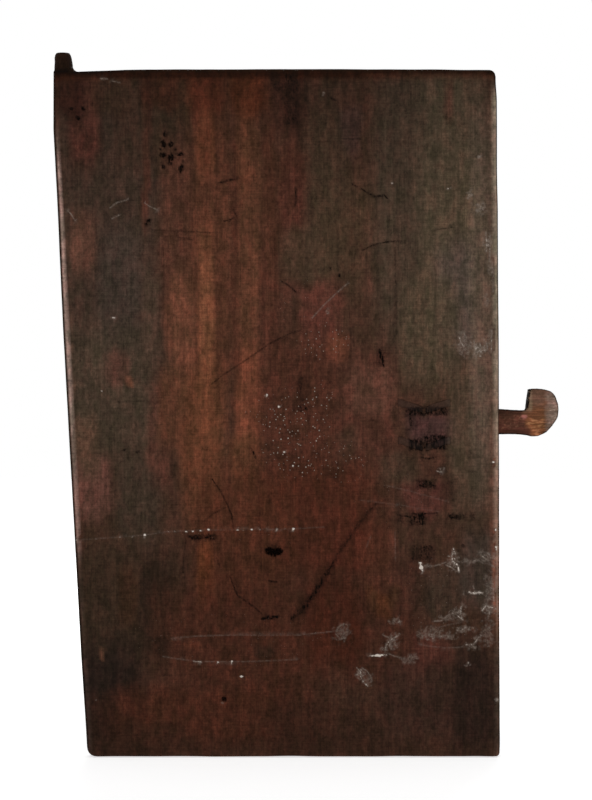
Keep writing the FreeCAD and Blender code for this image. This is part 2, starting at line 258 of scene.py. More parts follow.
# door plank: one hewn board, its peg left standing at the hinge side's top corner, in millimetres
plankForm = {
    "thickness": 24.0, "top": -3.6, "bottom": -705.1,
    "left": -9.7, "leftFoot": 26.0, "straight": -64.6,   # hinge edge, upright and then drawn in
    "right": 443.4, "rightFoot": 445.2,
    "dip": 2.5, "dipEnd": 64.0,                          # the top edge falls towards the peg
    "corners": (("left", "bottom", 9.0), ("right", "bottom", 4.5), ("right", "top", 7.0)),
    "cuts": ((0, (64, 2)), (2, (49, 4)), (1, (6,))),      # cells along x, z and y, some in two goes
    "edgeWear": 2.4,
    "pegRise": (0.0, 2.2, 6.1, 10.2, 12.9, 14.7, 15.2),   # the peg's rings: heights and radii
    "pegRadius": (9.6, 9.5, 9.1, 8.8, 8.0, 6.8, 5.4),
    "pegFoot": 10.4, "pegZone": 14.0, "pegStep": 4.0, "pegDome": 0.3,
    "pegLean": 0.8, "leanFrom": (3, 13),
    "pegSwell": 3.0, "swellFrom": 8.0, "swellAcross": (15.0, 10.5), "swellDeep": (11.5, 6.0),
}
# what the years have done to it: depths in millimetres, and the noise's sizes along x, y and z
plankWear = {
    # depth, noise sizes, seed, octaves
    "overall": (0.13, (46, 60, 110), 1.0, 3),
    "innerStrokes": (0.10, (9, 30, 150), 7.0, 1),
    "edges": (0.12, (18, 18, 26), 3.0, 1),
    "foot": (0.45, (38, 60, 60), 8.0, 1), "footFrom": -690, "footTo": -702,
    "adzeDepth": 1.0, "adzeDish": (21, 60, 34),
    "pegSpared": 0.8,
    "faceFrom": 10.6, "faceTo": 11.9,                     # a place counts as on a face from here on
    "grit": (3.0, 3.0, 3.0), "stroke": (1.3, 3.0, 7.0), "curl": (4.2, 4.2, 3.4),
    # the top edge rises in its middle: how far, and between which places along x
    "crown": ((0.6, 45, 90), (-0.45, 385, 415)), "crownHump": (0.4, 250, 70), "crownReach": (-14, -5),
    # the upright edges bow out: side, how far, and between which heights it comes in
    "bows": (("left", 1.55, -110, -280), ("left", -0.75, -600, -700), ("right", 0.75, -105, -150),
             ("right", 0.6, -190, -300), ("right", -1.1, -36, -14)),
    "bowReach": (9.0, 2.5),
    # finer faces lie this near to the marks, for lines a share of their width more
    "finer": {"slot": 2.5, "iron": 2.4, "lines": (0.6, 1.2), "pits": 2.0, "lime": 1.2, "stains": 1.0,
              "darkFrom": 0.4, "face": -11.5},
}


def plankLeft(up):
    form = plankForm
    down = np.clip((form["straight"] - up) / (form["straight"] - form["bottom"]), 0, 1)
    return form["left"] + (form["leftFoot"] - form["left"]) * down


def plankRight(up):
    form = plankForm
    down = (form["top"] - up) / (form["top"] - form["bottom"])
    return form["right"] + (form["rightFoot"] - form["right"]) * down


def plankTop(across):
    form = plankForm
    run = np.clip((form["dipEnd"] - across) / (form["dipEnd"] - form["left"]), 0, 1)
    return form["top"] - form["dip"] * run


def roundCorner(points, side, end, radius):
    # the grid of a square corner is drawn in to a quarter circle
    form = plankForm
    right, up = (1 if side == "left" else -1), (1 if end == "bottom" else -1)
    edgeAcross = (plankLeft if side == "left" else plankRight)(points[:, 2])
    edgeUp = form["bottom"] if end == "bottom" else plankTop(points[:, 0])
    inAcross, inUp = (points[:, 0] - edgeAcross) * right, (points[:, 2] - edgeUp) * up
    u, v = 1 - inAcross / radius, 1 - inUp / radius
    near = (u > 0) & (v > 0)
    shrink = np.maximum(u, v) / np.maximum(np.hypot(u, v), 1e-9)
    points[near, 0] += ((radius * (1 - u * shrink) - inAcross) * right)[near]
    points[near, 2] += ((radius * (1 - v * shrink) - inUp) * up)[near]


def raisePeg(plank):
    # the peg is drawn up out of the top edge and rounded ring by ring
    form = plankForm
    step, rings = form["pegStep"], len(form["pegRise"])
    pick(plank, "faces", lambda middle, normal: normal[2] > 0.9 and middle[0] < mm(form["pegFoot"]))
    for _ in range(rings):
        bpy.ops.mesh.extrude_region_move(TRANSFORM_OT_translate={"value": (0, 0, mm(step))})
    leaveEdit()
    points = places(plank)
    foot = form["top"] - form["dip"]
    peg = (points[:, 2] > foot + 0.6 * step) & (points[:, 0] < form["pegZone"])
    flat = points[peg]
    level = np.round((flat[:, 2] - foot) / step - 1).astype(int).clip(0, rings - 1)
    near, far = flat[:, 0].min(), flat[:, 0].max()
    u, v = (2 * flat[:, 0] - near - far) / (far - near), 2 * flat[:, 1] / form["thickness"]
    inner = np.maximum(np.abs(u), np.abs(v))
    radius = inner / np.maximum(np.hypot(u, v), 1e-9) * np.asarray(form["pegRadius"])[level]
    flat[:, 0], flat[:, 1] = u * radius, v * radius
    dome = np.where(level == rings - 1, form["pegDome"] * inner ** 2, 0)
    flat[:, 2] = np.asarray(form["pegRise"])[level] - dome
    flat[:, 0] -= form["pegLean"] * smooth(*form["leanFrom"], flat[:, 2])
    points[peg] = flat
    # the wood swells from the shoulder into the peg on its inner side
    swell = ~peg & (points[:, 0] > form["swellFrom"]) & (points[:, 0] < form["swellAcross"][0])
    swell &= points[:, 2] > foot - 1
    rise = form["pegSwell"] * smooth(*form["swellAcross"], points[:, 0])
    points[:, 2] += np.where(swell, rise * smooth(*form["swellDeep"], np.abs(points[:, 1])), 0)
    putBack(plank, points)
    finishMesh(plank)


def makePlank():
    form = plankForm
    bpy.ops.object.select_all(action="DESELECT")
    bpy.ops.mesh.primitive_cube_add(size=1)
    plank = bpy.context.object
    plank.name = "doorPlank"
    for axis, goes in form["cuts"]:
        for parts in goes:
            pick(plank, "edges", lambda a, b: abs(a[axis] - b[axis]) > 1e-4)
            bpy.ops.mesh.subdivide(number_cuts=parts - 1)
    leaveEdit()

    # the cube's grid is drawn out to the board's edges, none of which is quite square
    share = places(plank) / 1000.0 + 0.5
    up = form["bottom"] + share[:, 2] * (form["top"] - form["bottom"])
    for _ in range(2):
        left, right = plankLeft(up), plankRight(up)
        across = left + share[:, 0] * (right - left)
        up = form["bottom"] + share[:, 2] * (plankTop(across) - form["bottom"])
    points = np.stack([across, (share[:, 1] - 0.5) * form["thickness"], up], axis=1)
    for side, end, radius in form["corners"]:
        roundCorner(points, side, end, radius)
    putBack(plank, points)
    raisePeg(plank)

    breakEdges(plank, form["edgeWear"], 3)
    points = places(plank)
    points[:, 1] = points[:, 1].clip(-form["thickness"] / 2, form["thickness"] / 2)
    points[:, 0] = np.maximum(points[:, 0], form["left"])
    putBack(plank, points)
    return plank


doorPlank = makePlank()
print("plank blank", len(doorPlank.data.polygons), "faces")


# staples: square bars forged to a U, driven through case and plank, their ends beaten over the face
stapleForm = {
    "legs": (345.0, 393.0), "levels": (-343.5, -382.0),   # the legs' middles
    "bar": 5.5, "crown": 63.5, "bend": 4.0, "arris": 0.8, "voxel": 0.55,
    "reach": 22.5, "fall": 7.5, "flat": 7.5, "skin": 2.0, "pinch": 0.28,   # the beaten ends
    "sunk": 0.2, "seatClear": 0.4, "blow": 5.5, "blowDepth": 0.28, "wear": (0.08, (3, 3, 3)),
    "tone": 0.82, "sootAndShade": 1.1, "dirt": (-8.0, -10.5),     # the face's colours on the beaten ends
}
# an old slot: how far it sags and its ends turn up, how far these draw in and between which places
oldSlot = {"middle": (215.7, -494.7), "half": (9.0, 3.5), "depth": 6.0, "corner": 1.5,
           "sag": (0.9, 0.012), "drawIn": 1.6, "drawFrom": (4, 9)}

# what the inner face has been through: places on the photograph, widths and depths in mm
faceMarks = {
    # scratches and gouges that collected soot: places, width, depth, darkness
    "dark": [
        ([(376, 504), (358, 525), (341, 550), (327, 575)], 3.6, 0.5, 0.5),
        ([(334, 562), (316, 591), (305, 606), (292, 619)], 5.0, 0.9, 0.72),
        ([(209, 386), (223, 375), (246, 360), (269, 344), (289, 334), (301, 330)], 1.2, 0.4, 0.6),
        ([(212, 479), (220, 490), (226, 502), (232, 516), (233, 528)], 1.3, 0.4, 0.65),
        ([(203, 522), (213, 514), (226, 507)], 1.0, 0.3, 0.5),
        ([(186, 539), (184, 555), (183, 573)], 1.3, 0.4, 0.55),
        ([(230, 576), (237, 595), (254, 607), (262, 614)], 1.4, 0.5, 0.7),
        ([(262, 619), (268, 617.5), (277, 617)], 2.8, 1.1, 0.95),
        ([(260, 513), (261, 540), (262, 570)], 0.9, 0.2, 0.35),
        ([(217, 558), (220, 567)], 1.0, 0.3, 0.45),
        ([(219, 183), (228, 180.5), (238, 178.5)], 1.5, 0.6, 0.8),
        ([(224, 221), (231, 219.5), (236, 216), (234, 210)], 1.4, 0.5, 0.7),
        ([(152, 230), (180, 231), (213, 233)], 1.0, 0.3, 0.5),
        ([(177, 237), (185, 238), (193, 240)], 1.0, 0.3, 0.5),
        ([(281, 281), (288, 285), (296, 292)], 1.4, 0.5, 0.7),
        ([(295.5, 188), (296, 197), (295, 206)], 1.5, 0.5, 0.65),
        ([(352.5, 184), (356, 186)], 1.5, 0.5, 0.8),
        ([(361, 188.5), (368, 193), (376, 196.5), (384, 195), (388, 199)], 1.5, 0.6, 0.8),
        ([(362, 250.5), (370, 246.5), (380, 243), (392, 241), (406, 241)], 1.2, 0.4, 0.7),
        ([(432, 230.5), (443, 228.5), (455, 227)], 1.0, 0.3, 0.5),
        ([(331, 98), (336, 100.5)], 1.5, 0.5, 0.7),
        ([(341, 138.6), (351, 139), (361, 138.6)], 1.2, 0.3, 0.5),
        ([(379.5, 350), (381, 358)], 2.5, 0.7, 0.95), ([(382, 357), (383.5, 366)], 2.5, 0.7, 0.95),
        ([(118, 402), (138, 401), (158, 402)], 1.0, 0.2, 0.4),
        ([(121, 450.7), (126, 450)], 1.6, 0.3, 0.65),
        ([(251.7, 449), (254, 454), (256, 459)], 1.6, 0.5, 0.7),
        ([(268.8, 581), (277, 582)], 1.5, 0.5, 0.75),
        ([(420, 457), (428, 459), (436, 457)], 1.6, 0.4, 0.7),
        ([(419, 485), (424, 487), (430, 484.5), (435, 486)], 1.8, 0.5, 0.8),
        ([(398, 515), (410, 517), (425, 513.5), (437, 513)], 1.5, 0.4, 0.7),
        ([(413, 522), (423, 523.5)], 2.4, 0.6, 0.85),
        ([(452, 514), (458, 517), (463, 516)], 1.7, 0.5, 0.8),
        ([(413, 546), (420, 549), (430, 546)], 1.5, 0.4, 0.7),
        ([(425, 550), (427, 558), (430, 551)], 1.3, 0.4, 0.6),
        ([(286, 73), (287, 84), (286, 101)], 1.0, 0.6, 0.6),
        ([(293, 76), (294, 98), (293, 122)], 1.0, 0.4, 0.5),
        ([(163, 240), (164, 285), (163, 330)], 0.9, 0.2, 0.3),
        ([(349, 300), (351, 360), (350, 420)], 0.9, 0.15, 0.25),
        ([(394, 225), (396, 290), (397, 335)], 1.6, 0.2, 0.4),
    ],
    # scratches and runs that show pale wood or lime: places, width, paleness
    "pale": [
        ([(68, 211), (71, 214), (75.5, 221)], 1.0, 0.7),
        ([(110, 208), (116, 203), (128, 199.5)], 1.0, 0.6), ([(112, 218.6), (119, 215)], 1.1, 0.65),
        ([(144.5, 203), (150, 206.5), (157, 209.5)], 1.0, 0.6), ([(101, 78.6), (107, 79)], 1.5, 0.8),
        ([(112, 81), (120, 82.5)], 1.0, 0.4),
        ([(312, 318), (324, 305), (335, 294.5), (348, 283)], 1.0, 0.6),
        ([(172, 638), (200, 636), (232, 635), (265, 635), (300, 635), (337, 631)], 1.0, 0.33),
        ([(163, 656.5), (178, 659), (198, 661.5), (232, 662), (265, 661), (297, 659.5)], 1.0, 0.3),
        ([(194, 661.4), (201, 662)], 1.5, 0.9), ([(384, 485), (410, 491), (449, 502)], 0.9, 0.2),
        ([(360, 500), (400, 505), (440, 512)], 0.9, 0.15), ([(395, 533), (395.5, 561)], 1.0, 0.22),
        ([(371, 536), (366, 548)], 1.0, 0.2), ([(466, 561.5), (489, 558.6)], 1.3, 0.4),
        ([(421, 630), (440, 627), (466, 621)], 1.1, 0.3),
        ([(420, 645), (445, 648), (472, 646.7)], 1.1, 0.25),
        ([(369.5, 656), (377, 655), (386.6, 655)], 1.6, 0.9),
        ([(78, 540), (119, 537), (145, 535), (168, 531.6), (208, 530), (252, 529.4), (294, 528.8),
         (324, 527)], 0.9, 0.22), ([(421, 563), (420, 566.6), (423, 571)], 2.0, 1.2),
        ([(425, 567), (434, 566), (441, 564), (447, 562)], 1.1, 0.6),
        ([(453.6, 549), (454, 553), (451.5, 556.5), (453, 561), (458, 565.5), (459, 572)], 1.8, 1.15),
        ([(448.5, 556), (451.5, 557), (455, 559)], 1.5, 1.0),
        ([(446, 565), (450, 566.5), (455, 570)], 1.5, 0.8),
        ([(462, 562), (471, 561), (479, 560.5), (483, 563)], 1.3, 0.65),
        ([(482, 556), (486, 559), (490.5, 557.5)], 1.8, 0.8), ([(495.4, 547), (495.2, 550)], 1.6, 1.1),
        ([(473, 586), (474, 588.5)], 1.2, 0.7), ([(475, 592), (482, 593)], 1.8, 1.1),
        ([(464, 591), (463.6, 595)], 1.2, 0.6), ([(492.5, 582), (493, 601)], 1.4, 0.75),
        ([(495, 576), (494.5, 592)], 1.1, 0.7),
        ([(482, 611), (486, 606), (490, 607), (495, 608.5)], 1.8, 0.95),
        ([(489, 607), (489.4, 614)], 1.5, 0.8), ([(461.8, 604), (460.6, 610.5), (462, 619)], 1.7, 1.0),
        ([(461, 611), (455, 613), (448.5, 615), (442, 620.5), (433, 621.3)], 1.4, 0.75),
        ([(456, 614.5), (459, 617), (463, 619.7)], 1.5, 0.9),
        ([(430.7, 629), (431, 634), (433, 639)], 1.5, 0.8), ([(421, 631), (421.4, 637)], 1.2, 0.45),
        ([(426, 630), (426, 637)], 1.2, 0.5), ([(417.5, 633), (418, 637)], 1.1, 0.4),
        ([(439.5, 636.5), (443, 636), (447, 635.2), (449.3, 638.5)], 1.4, 0.7),
        ([(457, 630), (460, 631.5), (464, 628.5)], 1.5, 0.8),
        ([(465.6, 644.7), (470, 645), (474.3, 644), (477.5, 639), (481, 635.4)], 1.6, 0.9),
        ([(399.4, 634), (396, 637), (392.4, 638.7), (387, 644), (385, 649.6)], 1.7, 0.9),
        ([(383, 635), (387, 637), (391, 638)], 1.2, 0.6),
        ([(389, 653.9), (394, 656), (398, 657)], 1.2, 0.5),
        ([(399, 657), (404, 660), (410.3, 659.3), (416, 656)], 1.4, 0.6),
        ([(347.4, 625), (343, 624), (338, 628), (336.6, 634), (340, 639), (345, 638)], 1.8, 0.6),
        ([(357, 668), (361, 672.5), (360.3, 676), (363.6, 682), (367.5, 686)], 1.4, 1.0),
        ([(356, 674.5), (359, 675.5)], 1.3, 0.8),
        ([(362, 668), (367, 671), (370.5, 675.5), (372.5, 681)], 1.3, 0.6),
        ([(393, 620), (396, 622.5)], 2.0, 0.5),
        ([(437, 471), (439.5, 471.6), (442, 473.4), (440, 468.6)], 1.2, 0.9),
        ([(442, 473.4), (444.3, 468)], 1.2, 0.8), ([(459, 337), (461.5, 343), (463, 346)], 1.3, 0.9),
        ([(470, 341), (476, 349), (480, 352)], 1.2, 0.8), ([(474, 341), (474.5, 351)], 1.1, 0.8),
        ([(480, 343), (481, 354)], 1.2, 0.9), ([(484, 339), (484.5, 350)], 1.1, 0.8),
        ([(491.5, 330), (491, 352)], 1.1, 0.8), ([(486, 232), (486.6, 251)], 1.2, 0.9),
        ([(490, 235), (489.6, 262)], 1.1, 0.8), ([(483, 237), (483.4, 246)], 1.0, 0.5),
        ([(464, 342), (463, 350)], 1.2, 0.6), ([(492, 262), (493, 276), (492.5, 292)], 1.2, 0.5),
        ([(488, 262), (488.4, 272)], 1.0, 0.4), ([(477, 348), (476, 358)], 1.3, 0.8),
        ([(486, 341), (485, 352)], 1.2, 0.65),
    ],
    # pits and knocks: place, half width, half height, depth, darkness
    "pits": [
        (165.5, 134, 1.8, 2.2, 1.0, 0.8), (163.6, 144, 2.4, 3.2, 1.8, 0.95),
        (171, 144.5, 1.8, 2.4, 1.2, 0.9), (162.7, 155, 2.6, 1.8, 1.8, 1.0),
        (171, 157, 2.6, 2.6, 2.0, 1.0), (180, 154, 3.0, 1.6, 1.4, 0.85), (170, 163, 2.2, 1.4, 1.0, 0.8),
        (163.6, 167, 1.5, 1.3, 0.9, 0.8), (181, 168.6, 1.9, 3.0, 1.6, 0.95),
        (175, 148.5, 1.2, 1.6, 0.8, 0.7), (183, 161, 1.2, 1.4, 0.7, 0.6), (160, 149, 1.0, 1.0, 0.6, 0.6),
        (71.8, 108.6, 2.0, 1.3, 0.8, 0.75), (83.6, 108.6, 1.6, 1.3, 0.8, 0.8),
        (78, 117.5, 2.0, 1.8, 1.0, 0.9), (92, 104, 1.4, 1.6, 0.5, 0.5), (149, 220.8, 1.8, 1.5, 1.2, 0.95),
        (145.5, 224.5, 1.5, 1.2, 1.0, 0.9), (339, 275, 1.3, 1.4, 0.8, 0.7),
        (224.7, 699, 1.8, 1.7, 1.6, 1.0), (195, 537.5, 5.5, 2.4, 0.8, 0.75),
        (208, 536.2, 4.0, 1.8, 0.6, 0.65), (138, 452, 2.0, 1.5, 0.5, 0.5), (303, 408, 5.5, 3.0, 0.6, 0.6),
        (300, 383, 2.0, 7.0, 0.4, 0.45), (330, 269, 1.2, 1.2, 0.6, 0.6), (463, 546, 1.4, 1.2, 0.6, 0.6),
    ],
    # lime, plaster and bird droppings: place, half width, half height, thickness of the cover
    "lime": [
        (454, 562, 6, 9, 0.5), (453, 553, 2, 4, 0.5), (421, 566, 2.4, 3.2, 1.0), (428, 566, 6, 3, 0.3),
        (470, 561, 10, 3, 0.35), (486, 557, 7, 6, 0.45), (476, 592.7, 8, 1.7, 0.8), (489, 609, 8, 8, 0.4),
        (458, 614, 8, 7, 0.42), (448, 619, 11, 3, 0.32), (464, 629, 9, 4, 0.42), (430, 634, 15, 6, 0.4),
        (447, 636, 10, 4, 0.36), (471, 646, 8, 3, 0.4), (479, 638, 5, 4, 0.35), (342, 633, 8, 9, 0.34),
        (391, 643, 7, 8, 0.42), (386, 650, 5, 4, 0.4), (395, 621, 5, 4, 0.45), (378, 655.5, 8, 1.5, 0.9),
        (410, 659, 8, 4, 0.42), (361, 674, 6, 7, 0.45), (368, 680, 6, 6, 0.36), (465, 346, 9, 9, 0.42),
        (478, 350, 7, 8, 0.5), (486, 345, 4, 8, 0.45), (463, 336, 6, 5, 0.4), (470, 195, 3, 7, 0.4),
        (481, 208, 6, 6, 0.45), (488, 243, 3, 9, 0.5), (479, 157, 2, 2, 0.5), (491, 270, 2.0, 11, 0.35),
        (486, 300, 3, 10, 0.25), (490, 588, 5, 18, 0.42), (493, 560, 3, 10, 0.4), (488, 632, 7, 16, 0.3),
        (468, 665, 3, 2, 0.45), (496, 700, 2, 3, 0.55), (468.3, 663, 1.6, 1.6, 0.7),
        (441, 471, 4, 4, 0.2), (493, 462, 1.3, 1.3, 0.95), (494.5, 530, 1.2, 1.3, 0.85),
        (495, 547, 1.3, 1.4, 0.95), (448, 188.6, 1.7, 1.4, 0.8), (323.6, 93, 1.6, 1.5, 0.5),
        (113.6, 317.7, 2.4, 1.3, 0.7), (392, 183, 1.4, 1.2, 0.7), (241.8, 676.5, 2.2, 1.2, 0.95),
        (222.5, 703, 1.6, 1.1, 0.7), (267, 395, 1.2, 1.4, 0.9), (278.7, 406.6, 1.2, 1.4, 0.9),
        (284, 452, 1.3, 1.1, 0.9), (293, 466, 1.3, 1.2, 0.9), (101.7, 391, 1.0, 1.0, 0.8),
        (328, 311, 2.6, 3.4, 0.35), (78, 540, 1.2, 1.0, 0.8), (96, 539, 1.0, 0.9, 0.5),
        (119.6, 537, 1.2, 0.9, 0.7), (132, 536.5, 2.0, 0.8, 0.6), (145, 535, 1.7, 1.5, 1.0),
        (168, 531.6, 1.2, 0.9, 0.8), (175, 531.5, 1.6, 0.8, 0.7), (186, 531.6, 1.8, 0.9, 0.9),
        (193, 531.3, 2.0, 1.0, 0.9), (200.6, 530.8, 1.6, 1.0, 0.9), (208.5, 529.7, 1.6, 1.4, 1.0),
        (237.5, 530, 1.8, 0.9, 0.8), (243.5, 530, 1.2, 0.9, 0.7), (251.7, 529.4, 1.6, 1.2, 1.0),
        (260, 529.6, 1.2, 0.9, 0.6), (277, 529, 1.4, 1.0, 0.7), (285, 529, 1.2, 0.8, 0.6),
        (293.5, 528.8, 1.8, 1.1, 1.0), (218, 662, 1.8, 1.0, 0.8), (232, 661.6, 1.6, 1.4, 0.85),
        (96, 700, 1.0, 1.0, 0.4),
    ],
    # soot rubbed into the grain in upright strokes: left, right, top, bottom, darkness
    "stains": [
        (403.5, 408, 409, 413, 0.7), (407.5, 425, 407, 416.5, 0.85), (422, 448, 406.5, 416, 0.7),
        (408.5, 414, 414, 430, 0.7), (415.5, 423, 416, 426, 0.4), (427, 430, 414, 432, 0.45),
        (423, 447, 434.5, 449.5, 0.85), (408.5, 423, 439, 451, 1.0), (446, 450, 406, 430, 0.3),
        (421, 424, 453, 462, 0.5), (428, 434, 454, 458, 0.5), (416, 436, 479, 489, 0.6),
        (409, 426, 512, 525, 0.75), (397, 404, 514, 523, 0.55), (448, 465, 514, 519.5, 0.85),
        (470, 476, 512, 521, 0.5), (425, 447, 466, 476, 0.3), (411, 434, 545, 561, 0.5),
        (448, 457, 476, 504, 0.35), (269, 286, 72, 101, 0.4), (284, 299, 74, 126, 0.45),
        (303, 309, 76, 118, 0.35), (352, 360, 118, 130, 0.2), (190, 216, 534, 541, 0.6),
        (296, 307, 380, 410, 0.3), (376, 386, 350, 366, 0.45), (118, 131, 196, 218, 0.25),
        (268, 281, 544, 549, 0.5),
    ],
    # fine lime specks: place, half width, half height, how many
    "specks": [
        (296, 432, 46, 54, 1.0), (318, 398, 18, 20, 1.0), (310, 460, 34, 22, 1.0),
        (325, 342, 32, 24, 0.8), (345, 462, 28, 24, 0.8), (262, 405, 26, 40, 0.6),
        (300, 300, 40, 30, 0.4), (440, 600, 52, 60, 0.4), (230, 534, 80, 10, 0.35),
        (240, 640, 140, 40, 0.3), (400, 500, 60, 40, 0.3), (276, 410, 220, 330, 0.12),
    ],
}
# colours of the inner face, from broad to small: middle, half width, half height, colour, strength
faceTones = [
    (110, 210, 62, 190, "#392d26", 0.95), (84, 118, 16, 52, "#4a2b24", 0.75),
    (120, 300, 22, 75, "#3a322d", 0.7), (146, 160, 4.5, 75, "#4e2e25", 0.7),
    (165, 125, 13, 50, "#352a20", 0.75), (185, 96, 9, 30, "#33281d", 0.75),
    (176, 230, 18, 90, "#4c3026", 0.7), (211, 250, 22, 170, "#4d3024", 0.9),
    (206, 345, 8, 115, "#6b4532", 0.85), (236, 280, 5, 170, "#47291f", 0.6),
    (250, 265, 12, 180, "#543628", 0.85), (250, 395, 14, 50, "#6c4030", 0.85),
    (269, 240, 8, 140, "#4a2b20", 0.6), (288, 104, 18, 34, "#35201a", 0.7),
    (290, 200, 14, 60, "#48291f", 0.6), (292, 225, 12, 70, "#4a2b24", 0.6),
    (316, 118, 3, 42, "#4c2b25", 0.6), (326, 190, 20, 112, "#3b2f25", 0.85),
    (351, 130, 12, 24, "#352b2b", 0.4), (367, 258, 7, 38, "#4d3029", 0.7),
    (405, 200, 34, 150, "#3d332a", 0.95), (452, 200, 34, 160, "#4b4135", 0.95),
    (449, 100, 5, 26, "#55322a", 0.5), (455, 300, 22, 60, "#4b4140", 0.55),
    (345, 235, 30, 60, "#3e3226", 0.6), (68, 92, 16, 26, "#2c1a14", 0.85),
    (112, 92, 24, 24, "#3b2a1f", 0.6), (160, 90, 22, 22, "#3a2117", 0.7),
    (206, 90, 20, 26, "#4a271b", 0.8), (248, 90, 20, 26, "#4b2819", 0.8),
    (110, 395, 52, 70, "#3f352c", 0.9), (93, 488, 19, 32, "#583c35", 0.85),
    (138, 500, 24, 50, "#382f27", 0.85), (160, 430, 12, 60, "#4a2f27", 0.6),
    (202, 440, 22, 84, "#5a3827", 0.8), (246, 462, 18, 32, "#543625", 0.7),
    (270, 330, 14, 60, "#4b2e25", 0.6), (300, 420, 44, 90, "#43281f", 0.85),
    (338, 347, 12, 14, "#683d2f", 0.7), (320, 310, 22, 32, "#55312a", 0.6),
    (366, 410, 30, 60, "#482c24", 0.8), (348, 445, 12, 20, "#3b2f25", 0.5),
    (430, 330, 30, 60, "#473d31", 0.85), (434, 428, 28, 16, "#432f2e", 0.85),
    (468, 440, 20, 80, "#463b30", 0.8), (425, 497, 24, 17, "#4a2c27", 0.75),
    (398, 470, 20, 16, "#40342a", 0.6), (315, 520, 70, 60, "#402319", 0.9),
    (240, 540, 50, 70, "#482a1e", 0.85), (205, 575, 7, 36, "#5a3320", 0.7),
    (112, 600, 34, 70, "#33281f", 0.85), (160, 604, 26, 54, "#2a2019", 0.75),
    (128, 600, 10, 30, "#3c281c", 0.6), (160, 612, 10, 40, "#2e1f17", 0.5),
    (250, 640, 90, 60, "#43271d", 0.85), (383, 604, 9, 12, "#7c4a2d", 0.85),
    (371, 598, 5, 11, "#4d3a20", 0.6), (396, 596, 5, 11, "#4b3a1f", 0.6),
    (380, 640, 40, 50, "#40261d", 0.75), (440, 590, 30, 24, "#382e26", 0.75),
    (478, 570, 18, 40, "#3c3530", 0.7), (430, 655, 22, 20, "#4e2d26", 0.7),
    (474, 700, 26, 56, "#251b17", 0.85), (420, 700, 40, 40, "#362620", 0.7),
    (110, 700, 34, 60, "#231b17", 0.9), (129, 379, 5, 5, "#744a39", 0.7),
    (118, 368, 12, 18, "#50342d", 0.6), (102, 648, 3, 6, "#6b4a3a", 0.6),
    (192, 647, 8, 4, "#5e3628", 0.6), (264, 649, 12, 7, "#2a2019", 0.6),
    (161, 646, 10, 10, "#221913", 0.5), (484, 300, 15, 190, "#5d5047", 0.55),
    (392, 558, 6, 26, "#5e3a2f", 0.5), (376, 560, 16, 40, "#4b2b20", 0.6),
    (210, 720, 110, 34, "#45271c", 0.8), (320, 725, 60, 26, "#33221a", 0.7),
    (260, 747, 200, 9, "#33221a", 0.5), (152, 740, 40, 16, "#33231b", 0.6),
    (181, 322, 15, 50, "#5f3d2f", 0.85), (150, 322, 9, 46, "#483930", 0.8),
    (83, 240, 13, 34, "#543a30", 0.8), (372, 388, 24, 26, "#543a30", 0.7),
    (335, 620, 30, 50, "#3d2016", 0.8), (206, 142, 9, 38, "#5f3828", 0.75),
    (243, 150, 7, 50, "#5b3a2a", 0.5), (302, 255, 22, 28, "#413429", 0.75),
    (172, 410, 14, 40, "#583829", 0.7), (88, 448, 12, 34, "#503e32", 0.7),
    (340, 540, 26, 28, "#49271d", 0.7), (136, 140, 22, 34, "#382920", 0.5),
    (340, 92, 24, 20, "#362820", 0.5), (408, 586, 18, 34, "#402820", 0.6),
    (336, 182, 18, 34, "#3c2f25", 0.5),
]


def lineDistance(flat, line):
    # distance of places on the face to a line read on the photograph, and how far along it they are
    best, share = np.full(len(flat), 1e9), np.zeros(len(flat))
    corners = [np.array(onFace(*corner)) for corner in line]
    for n, (start, end) in enumerate(zip(corners, corners[1:])):
        run = end - start
        t = np.clip((flat - start) @ run / (run @ run), 0, 1)
        away = np.linalg.norm(flat - start - t[:, None] * run, axis=1)
        nearer = away < best
        best[nearer], share[nearer] = away[nearer], (n + t[nearer]) / (len(corners) - 1)
    return best, share


def blob(flat, across, down, halfWide, halfHigh, power=2):
    # 0 in the middle of a patch read on the photograph, 1 on its rim
    middle = np.array(onFace(across, down))
    u = np.abs(flat - middle) / (photoScale["pixel"] * np.array([halfWide, halfHigh]))
    return (u[:, 0] ** power + u[:, 1] ** power) ** (1.0 / power)


def stainDistance(flat, left, right, top, bottom):
    # millimetres outside an upright stain read on the photograph, less than nothing inside it
    (x1, z1), (x2, z2) = onFace(left, bottom), onFace(right, top)
    u = np.abs(flat - np.array([(x1 + x2) / 2, (z1 + z2) / 2])) - np.array([(x2 - x1) / 2, (z2 - z1) / 2])
    return u.max(axis=1)


def slotDistance(flat):
    # millimetres outside the old slot
    form = oldSlot
    away = flat - np.array(form["middle"])
    sag, turnUp = form["sag"]
    away[:, 1] += sag - turnUp * away[:, 0] ** 2
    u = np.abs(away) - np.array(form["half"]) + form["corner"]
    u[:, 1] += form["drawIn"] * smooth(*form["drawFrom"], np.abs(away[:, 0]))
    return np.linalg.norm(np.maximum(u, 0), axis=1) + np.minimum(u.max(axis=1), 0) - form["corner"]


def ironDistance(flat):
    # millimetres outside the nearest beaten end of a staple
    form = stapleForm
    best = np.full(len(flat), 1e9)
    for leg, way in zip(form["legs"], (1, -1)):
        out = (flat[:, 0] - leg) * way
        beside = np.maximum(-out - form["bar"] / 2, out - form["reach"])
        for level in form["levels"]:
            share = np.clip(out / form["reach"], 0, 1)
            above = np.abs(flat[:, 1] - level + form["fall"] * share) - form["flat"] / 2
            best = np.minimum(best, np.maximum(above, beside))
    return best


